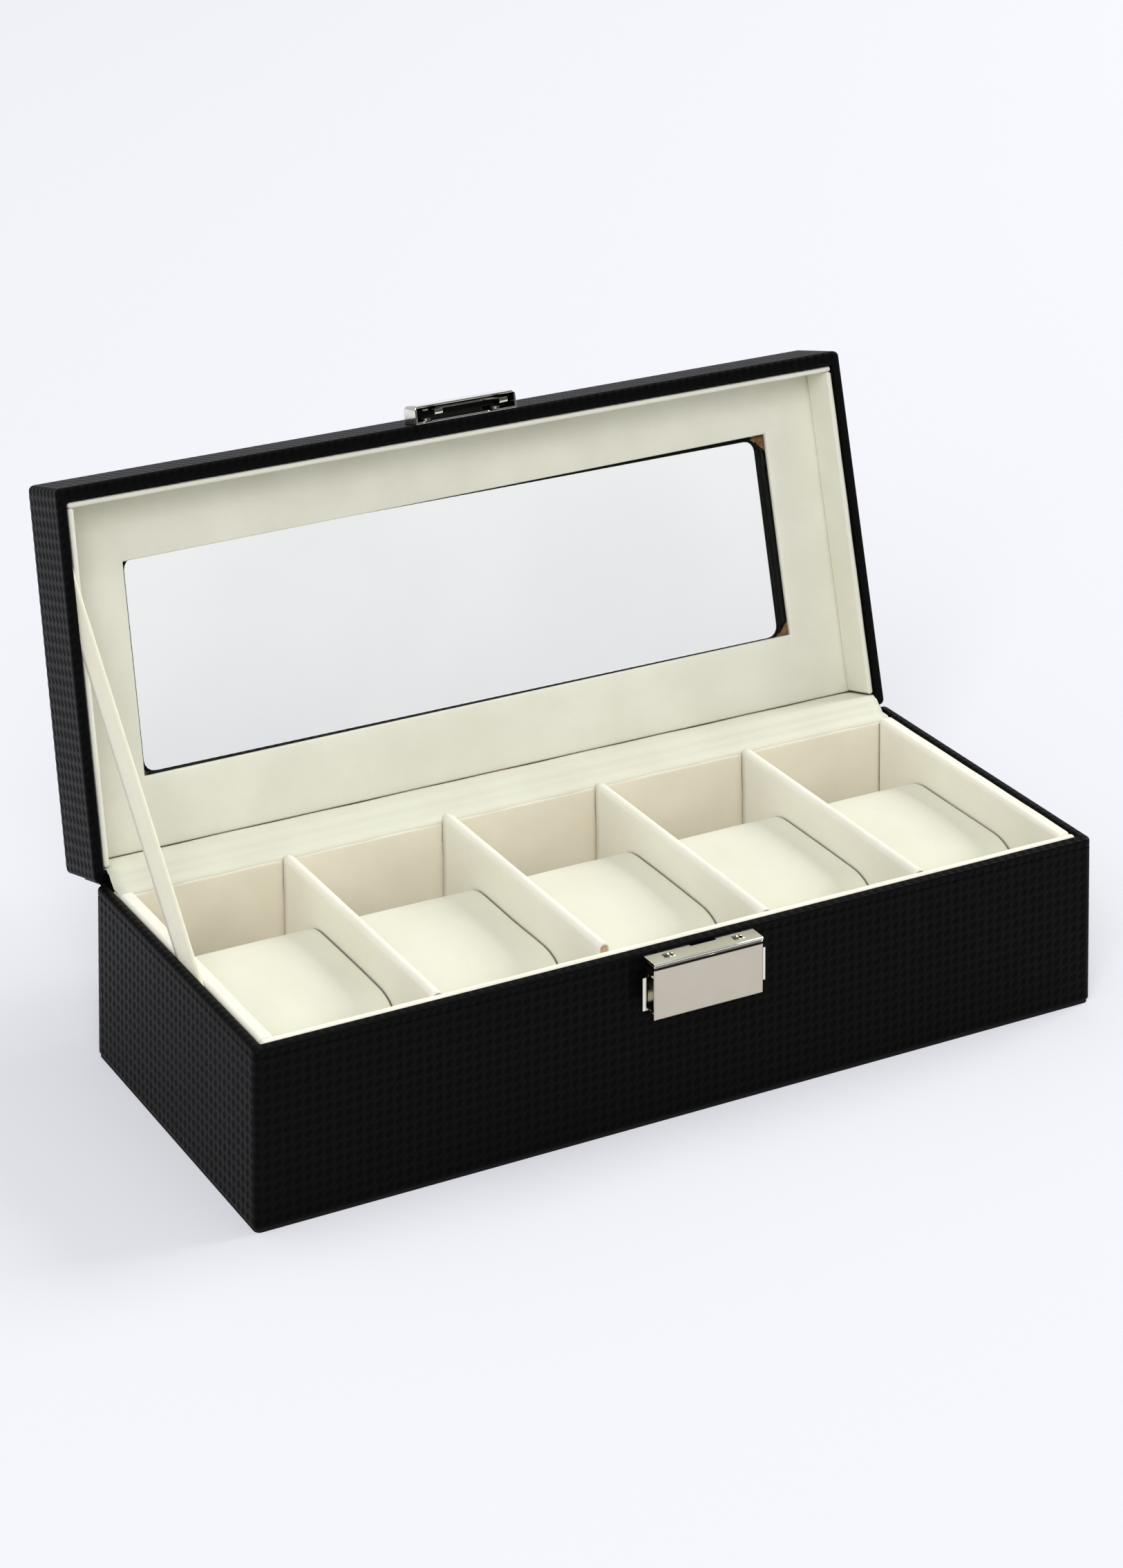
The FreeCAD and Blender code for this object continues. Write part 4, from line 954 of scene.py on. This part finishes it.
def lid_panel_velvet():
    """The velvet panel inside the lid. Its opening was cut by hand, a little askew, with square corners."""
    low, high = lid_box("lid_lining_panel")
    back_gap = 0.25
    outer = np.array([low[0], high[0], low[1], high[1] + back_gap, 0.6])
    window = window_outline()
    opening = window + (-PANEL_LEFT_MARGIN, PANEL_RIGHT_MARGIN, -PANEL_FRONT_MARGIN, PANEL_BACK_MARGIN, 0)
    opening[4] = 0.3
    edge = 0.5
    bottom = low[2] + edge
    rows = edge_rows(outer, (edge, bottom), edge, 180, 270, 3)
    rows += [(shrunk(outer, edge) * (1 - share) + shrunk(opening, -edge) * share, low[2])
             for share in np.linspace(0, 1, 7)[1:-1]]
    rows += edge_rows(opening, (-edge, bottom), edge, 270, 360, 3)
    rows += [(opening, high[2]), (outer, high[2])]
    side_cuts = [cuts(low[axis], high[axis], VELVET_STEP) for axis in (0, 1)]
    points, faces = ring_solid(rows[::-1], *side_cuts)
    visible = np.clip((high[2] - points[:, 2] - 1.0) / 0.8, 0, 1)
    points[:, 2] += visible * 0.5 * VELVET_RIPPLE * (1 + swell(points, PANEL_WAVE))
    points[:, 1] -= askew(points, opening)
    piece = make_piece("lid_panel_velvet", swing(points), faces, LINING)
    settle(piece, "lid", "lid_lining_panel")


def askew(points, opening):
    """How far each point near the opening strays to the front: more on the right and along the front."""
    left, right, front, back, _ = opening
    x, y, _ = points.T
    outside = np.maximum.reduce([left - x, x - right, front - y, y - back])
    near = np.clip(1 - outside / 10.0, 0, 1)
    frontness = np.clip((back - y) / (back - front), 0, 1)
    return near * x / right * (0.3 + 0.8 * frontness)


def lid_linings():
    """Velvet strips round the inside of the lid, whose rounded lips show at the rim."""
    for side in ("front", "left", "right"):
        node = f"lid_{side}_lining"
        points, faces = rounded_board(*lid_box(node), LIP_RADIUS)
        piece = make_piece(f"lid_{side}_velvet", swing(points), faces, LINING)
        settle(piece, "lid", node)


# ---- pillows

def pillow_block(low, high, steps):
    """A pillow before it swells: a block with well rounded ends, whose side faces are ringed inwards."""
    outline = np.array([low[1], high[1], low[2], high[2], PILLOW_ROUND])
    seam = PILLOW_SEAM_ROUND
    innermost = (high[2] - low[2]) / 2 - 2.0
    side = [(shrink, low[0]) for shrink in np.linspace(innermost, seam, steps)[:-1]]
    side += [(seam + shrink, x) for x, shrink in arc((low[0] + seam, 0), seam, 180, 270, 4)]
    middle = np.linspace(low[0] + seam, high[0] - seam, 2 * steps)[1:-1]
    rows = side + [(0.0, x) for x in middle]
    rows += [(shrink, low[0] + high[0] - x) for shrink, x in side[::-1]]
    grid = np.linspace(0, 1, 2 * steps)
    rings = [ring(shrunk(outline, shrink), x, grid, grid)[:, [2, 0, 1]] for shrink, x in rows]
    points = np.vstack(rings)
    count = len(rings[0])
    faces = lattice(len(rings), count, False, True).tolist()
    faces.append(list(range(count))[::-1])
    faces.append([(len(rings) - 1) * count + i for i in range(count)])
    return points, faces


def read_points(obj):
    """A mesh object's points after its modifiers, in millimetres."""
    evaluated = obj.evaluated_get(bpy.context.evaluated_depsgraph_get())
    places = np.empty(len(evaluated.data.vertices) * 3)
    evaluated.data.vertices.foreach_get("co", places)
    return places.reshape(-1, 3) / MM


def apply_modifiers(obj):
    """Replaces the object's mesh with what its modifiers make of it."""
    graph = bpy.context.evaluated_depsgraph_get()
    mesh = bpy.data.meshes.new_from_object(obj.evaluated_get(graph), depsgraph=graph)
    obj.modifiers.clear()
    obj.data = mesh


def swollen(obj):
    """Where a closed mesh's points go when it is filled like a cushion."""
    scene = bpy.context.scene
    cloth = obj.modifiers.new("filling", "CLOTH")
    cloth.settings.quality = 5
    cloth.settings.use_pressure = True
    cloth.settings.uniform_pressure_force = 4.0
    cloth.settings.effector_weights.gravity = 0
    cloth.point_cache.frame_start = 1
    cloth.point_cache.frame_end = FILLING_FRAMES
    for number in range(1, FILLING_FRAMES + 1):
        scene.frame_set(number)
    places = read_points(obj)
    obj.modifiers.clear()
    scene.frame_set(1)
    return places


def evened(obj, values, rounds):
    """Blends each point's value with its neighbours' several times over, which takes out small wrinkles."""
    ends = np.empty(len(obj.data.edges) * 2, int)
    obj.data.edges.foreach_get("vertices", ends)
    first, second = ends.reshape(-1, 2).T
    count = len(values)
    neighbours = np.bincount(first, minlength=count) + np.bincount(second, minlength=count)
    for _ in range(rounds):
        total = np.column_stack([
            np.bincount(first, part[second], count) + np.bincount(second, part[first], count)
            for part in values.T
        ])
        values = 0.5 * (values + total / neighbours[:, None])
    return values


def soft_limit(values, low, high, softness):
    """Keeps values inside limits, bending over smoothly near them."""
    middle, half = (low + high) / 2, (high - low) / 2
    offset = np.abs(values - middle)
    start = half - softness
    over = np.maximum(offset - start, 0)
    eased = np.where(over > 0, start + softness * np.tanh(over / softness), offset)
    return middle + np.sign(values - middle) * eased


def filling_moves(low, high):
    """How a coarse block of a pillow's size moves when it is filled. Gives its points and their moves."""
    inset = np.full(3, PILLOW_START_INSET)
    points, faces = pillow_block(low + inset, high - inset, 6)
    obj = link("filled", make_mesh("filled", points, faces))
    remesh = obj.modifiers.new("even", "REMESH")
    remesh.mode = "VOXEL"
    remesh.voxel_size = VOXEL * MM
    apply_modifiers(obj)
    start = read_points(obj)
    moves = swollen(obj) - start
    moves = evened(obj, moves, WRINKLE_ROUNDS)
    length = np.maximum(np.linalg.norm(moves, axis=1), 1e-9)[:, None]
    bpy.data.objects.remove(obj)
    return start, moves * np.minimum(length, MOST_SWELL) / length


def carried(points, start, moves):
    """The moves at points, from those at the nearest points of the coarse mesh."""
    tree = KDTree(len(start))
    for number, place in enumerate(start):
        tree.insert(place, number)
    tree.balance()
    result = np.empty_like(points)
    for number, point in enumerate(points):
        _, near, distances = zip(*tree.find_n(point, 8))
        weights = 1 / (np.array(distances) + 0.5)
        result[number] = weights @ moves[list(near)] / weights.sum()
    return result


def pillow(number):
    """One soft pillow with crisp seams, filled by simulation and held between its neighbours."""
    node = f"pillow_{number}"
    low, high = base_box(node)
    start, moves = filling_moves(low, high)
    left = base_box(NEIGHBOURS[number - 1])[1][0] + PILLOW_SIDE_GAP
    right = base_box(NEIGHBOURS[number])[0][0] - PILLOW_SIDE_GAP
    block_low = np.array([left, low[1] + PILLOW_START_INSET, low[2]])
    block_high = np.array([right, high[1] - PILLOW_START_INSET, high[2] - PILLOW_START_INSET])
    points, faces = pillow_block(block_low, block_high, 8)
    places = points + carried(points, start, moves)
    places[:, 0] = points[:, 0]
    places[:, 1] = soft_limit(places[:, 1], low[1] - PILLOW_END_ROOM, high[1] + PILLOW_END_ROOM, 1.0)
    places[:, 2] = soft_limit(places[:, 2], low[2], high[2] + PILLOW_CROWN_ROOM, 1.0)
    obj = link(node + "_cushion", make_mesh(node + "_cushion", places, faces))
    subdivide = obj.modifiers.new("smooth", "SUBSURF")
    subdivide.levels = 1
    subdivide.render_levels = 1
    apply_modifiers(obj)
    obj.data.polygons.foreach_set("use_smooth", np.ones(len(obj.data.polygons), bool))
    obj.data.materials.append(CUSHION)
    settle(obj, node, node)


# ---- CAD nodes that stay

def dress(material, *nodes):
    """Gives CAD nodes a material in place of their plain one."""
    for node in nodes:
        slots = NODES[node].material_slots
        if not slots:
            NODES[node].data.materials.append(material)
        for slot in NODES[node].material_slots:
            slot.material = material


def ease_edges(width, *nodes):
    """Joins a CAD node's split points and rounds its edges a little, as pressed metal is."""
    for node in nodes:
        obj = NODES[node]
        weld = obj.modifiers.new("join", "WELD")
        weld.merge_threshold = 0.002 * MM
        bevel = obj.modifiers.new("edges", "BEVEL")
        bevel.width = width * MM
        bevel.segments = 2
        bevel.limit_method = "ANGLE"
        bevel.angle_limit = math.radians(35)


def dress_cad_nodes():
    """Boards, metal parts and the pane keep their CAD shapes."""
    walls = [f"{part}_{side}_wall" for part in ("base", "lid") for side in ("front", "back", "left", "right")]
    cores = [f"divider_{number}_core" for number in range(1, 5)]
    dress(BOARD, *walls, "base_bottom_board", "lid_top_frame", "lid_spacer_frame")
    dress(CORE, *cores)
    dress(NICKEL, "latch_housing", "strike_claws")
    dress(SHELL_NICKEL, "strike_shell")
    dress(FACE_NICKEL, "latch_button")
    dress(NAIL, "latch_nails", "strike_nails")
    dress(PANE, "window_pane")
    dress(UNDERSIDE, "bottom_sheet")
    ease_edges(0.14, "latch_housing", "latch_button", "strike_shell", "strike_claws")


def latch_spring():
    """The spring behind the button, copied from its CAD node in spring steel."""
    low, high = base_box("latch_spring")
    mesh = NODES["latch_spring"].data.copy()
    mesh.materials.clear()
    mesh.materials.append(SPRING)
    piece = link("latch_spring_coil", mesh)
    settle(piece, "base", "latch_spring")
    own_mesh(piece)


# ---- studio

def floor():
    """A plain pale floor. To the camera it also glows a little, which keeps its far side even."""
    nodes = Nodes("floor")
    cloud = nodes.noise(0.8, 2.0)
    colour = nodes.mix(cloud, (0.76, 0.77, 0.81, 1), (0.78, 0.79, 0.83, 1))
    diffuse = nodes.add("ShaderNodeBsdfDiffuse", {"Color": colour, "Roughness": 0.4})
    glow = nodes.add("ShaderNodeEmission", {"Color": BACKDROP, "Strength": 1.0})
    seen = nodes.add("ShaderNodeLightPath").outputs["Is Camera Ray"]
    material = nodes.mixed(nodes.math("MULTIPLY", seen, FLOOR_GLOW), diffuse, glow)
    marks = np.linspace(-FLOOR_REACH, FLOOR_REACH, 9)
    points = [[x, y, 0.0] for y in marks for x in marks]
    make_piece("floor", points, lattice(len(marks), len(marks)), material)


def soft_light(name, place, height, size, power):
    """A square soft box at a place, facing a height above the middle of the floor. Metres."""
    light = bpy.data.lights.new(name, "AREA")
    light.shape = "SQUARE"
    light.size = size
    light.energy = power
    light.color = LAMP_COLOUR
    obj = link(name, light)
    obj.location = place
    obj.rotation_euler = direction_angles(np.array((0, 0, height)) - np.array(place))


def direction_angles(direction):
    """Euler angles that turn a lamp or a camera to look in a direction, upright."""
    x, y, z = direction / np.linalg.norm(direction)
    return (math.acos(-z), 0.0, math.atan2(-x, y))


def room():
    """Pale all round, but dim low down on the camera's side, which the polished metal mirrors."""
    nodes = Nodes("room", "World")
    direction = nodes.add("ShaderNodeTexCoord").outputs["Generated"]
    away = (-0.25, 0.74, 0.62)
    facing = nodes.add("ShaderNodeVectorMath", {0: direction, 1: away}, operation="DOT_PRODUCT")
    light = nodes.ramp(facing.outputs["Value"], -0.80, 0.0, 0.05, ROOM_LIGHT)
    lit = nodes.add("ShaderNodeBackground", {"Color": (0.95, 0.96, 1.0, 1), "Strength": light})
    seen = nodes.add("ShaderNodeBackground", {"Color": BACKDROP})
    camera_ray = nodes.add("ShaderNodeLightPath").outputs["Is Camera Ray"]
    return nodes.mixed(camera_ray, lit, seen)


def studio():
    """The room, soft boxes on the right, which throws the shadow, and on the left, and a weak one above."""
    bpy.context.scene.world = room()
    soft_light("right", (3.0, 0.10, 2.2), 0.03, 1.8, 92.0)
    soft_light("left", (-2.0, -2.9, 2.8), 0.05, 2.2, 92.0)
    soft_light("above", (-0.3, 0.5, 3.4), 0.03, 2.6, 14.0)


def camera():
    """The camera at the front left of the box, looking down at it."""
    data = bpy.data.cameras.new("camera")
    data.lens = LENS
    data.sensor_width = SENSOR
    obj = link("camera", data)
    obj.location = [length * MM for length in CAMERA_PLACE]
    turn, drop = math.radians(CAMERA_AZIMUTH), math.radians(CAMERA_DROP)
    level = math.cos(drop)
    forward = np.array([math.sin(turn) * level, math.cos(turn) * level, -math.sin(drop)])
    obj.rotation_euler = direction_angles(forward)
    shift_lens_at_home(data, obj)
    bpy.context.scene.camera = obj


def shift_lens_at_home(data, obj):
    """Shifts the lens while the camera stands in its own place. Moved elsewhere, it looks straight ahead."""
    driver = data.driver_add("shift_y").driver
    for name, axis in (("x", "LOC_X"), ("z", "LOC_Z")):
        variable = driver.variables.new()
        variable.name = name
        variable.type = "TRANSFORMS"
        target = variable.targets[0]
        target.id = obj
        target.transform_type = axis
        target.transform_space = "WORLD_SPACE"
    home_x, _, home_z = obj.location
    away = f"abs(x - {home_x:.6f}) + abs(z - {home_z:.6f})"
    driver.expression = f"{LENS_SHIFT} if {away} < 0.001 else 0.0"


# ---- the whole box

def build():
    base_leather_wrap()
    lid_leather_wrap()
    hinge_leather_strip()
    hinge_velvet_strip()
    ribbon()
    base_linings()
    divider_velvets()
    lid_panel_velvet()
    lid_linings()
    for number in range(1, 6):
        pillow(number)
    dress_cad_nodes()
    latch_spring()
    floor()
    studio()
    camera()
    view = bpy.context.scene.view_settings
    view.view_transform = "Standard"
    view.look = "None"
    bpy.context.scene.cycles.use_denoising = True


build()
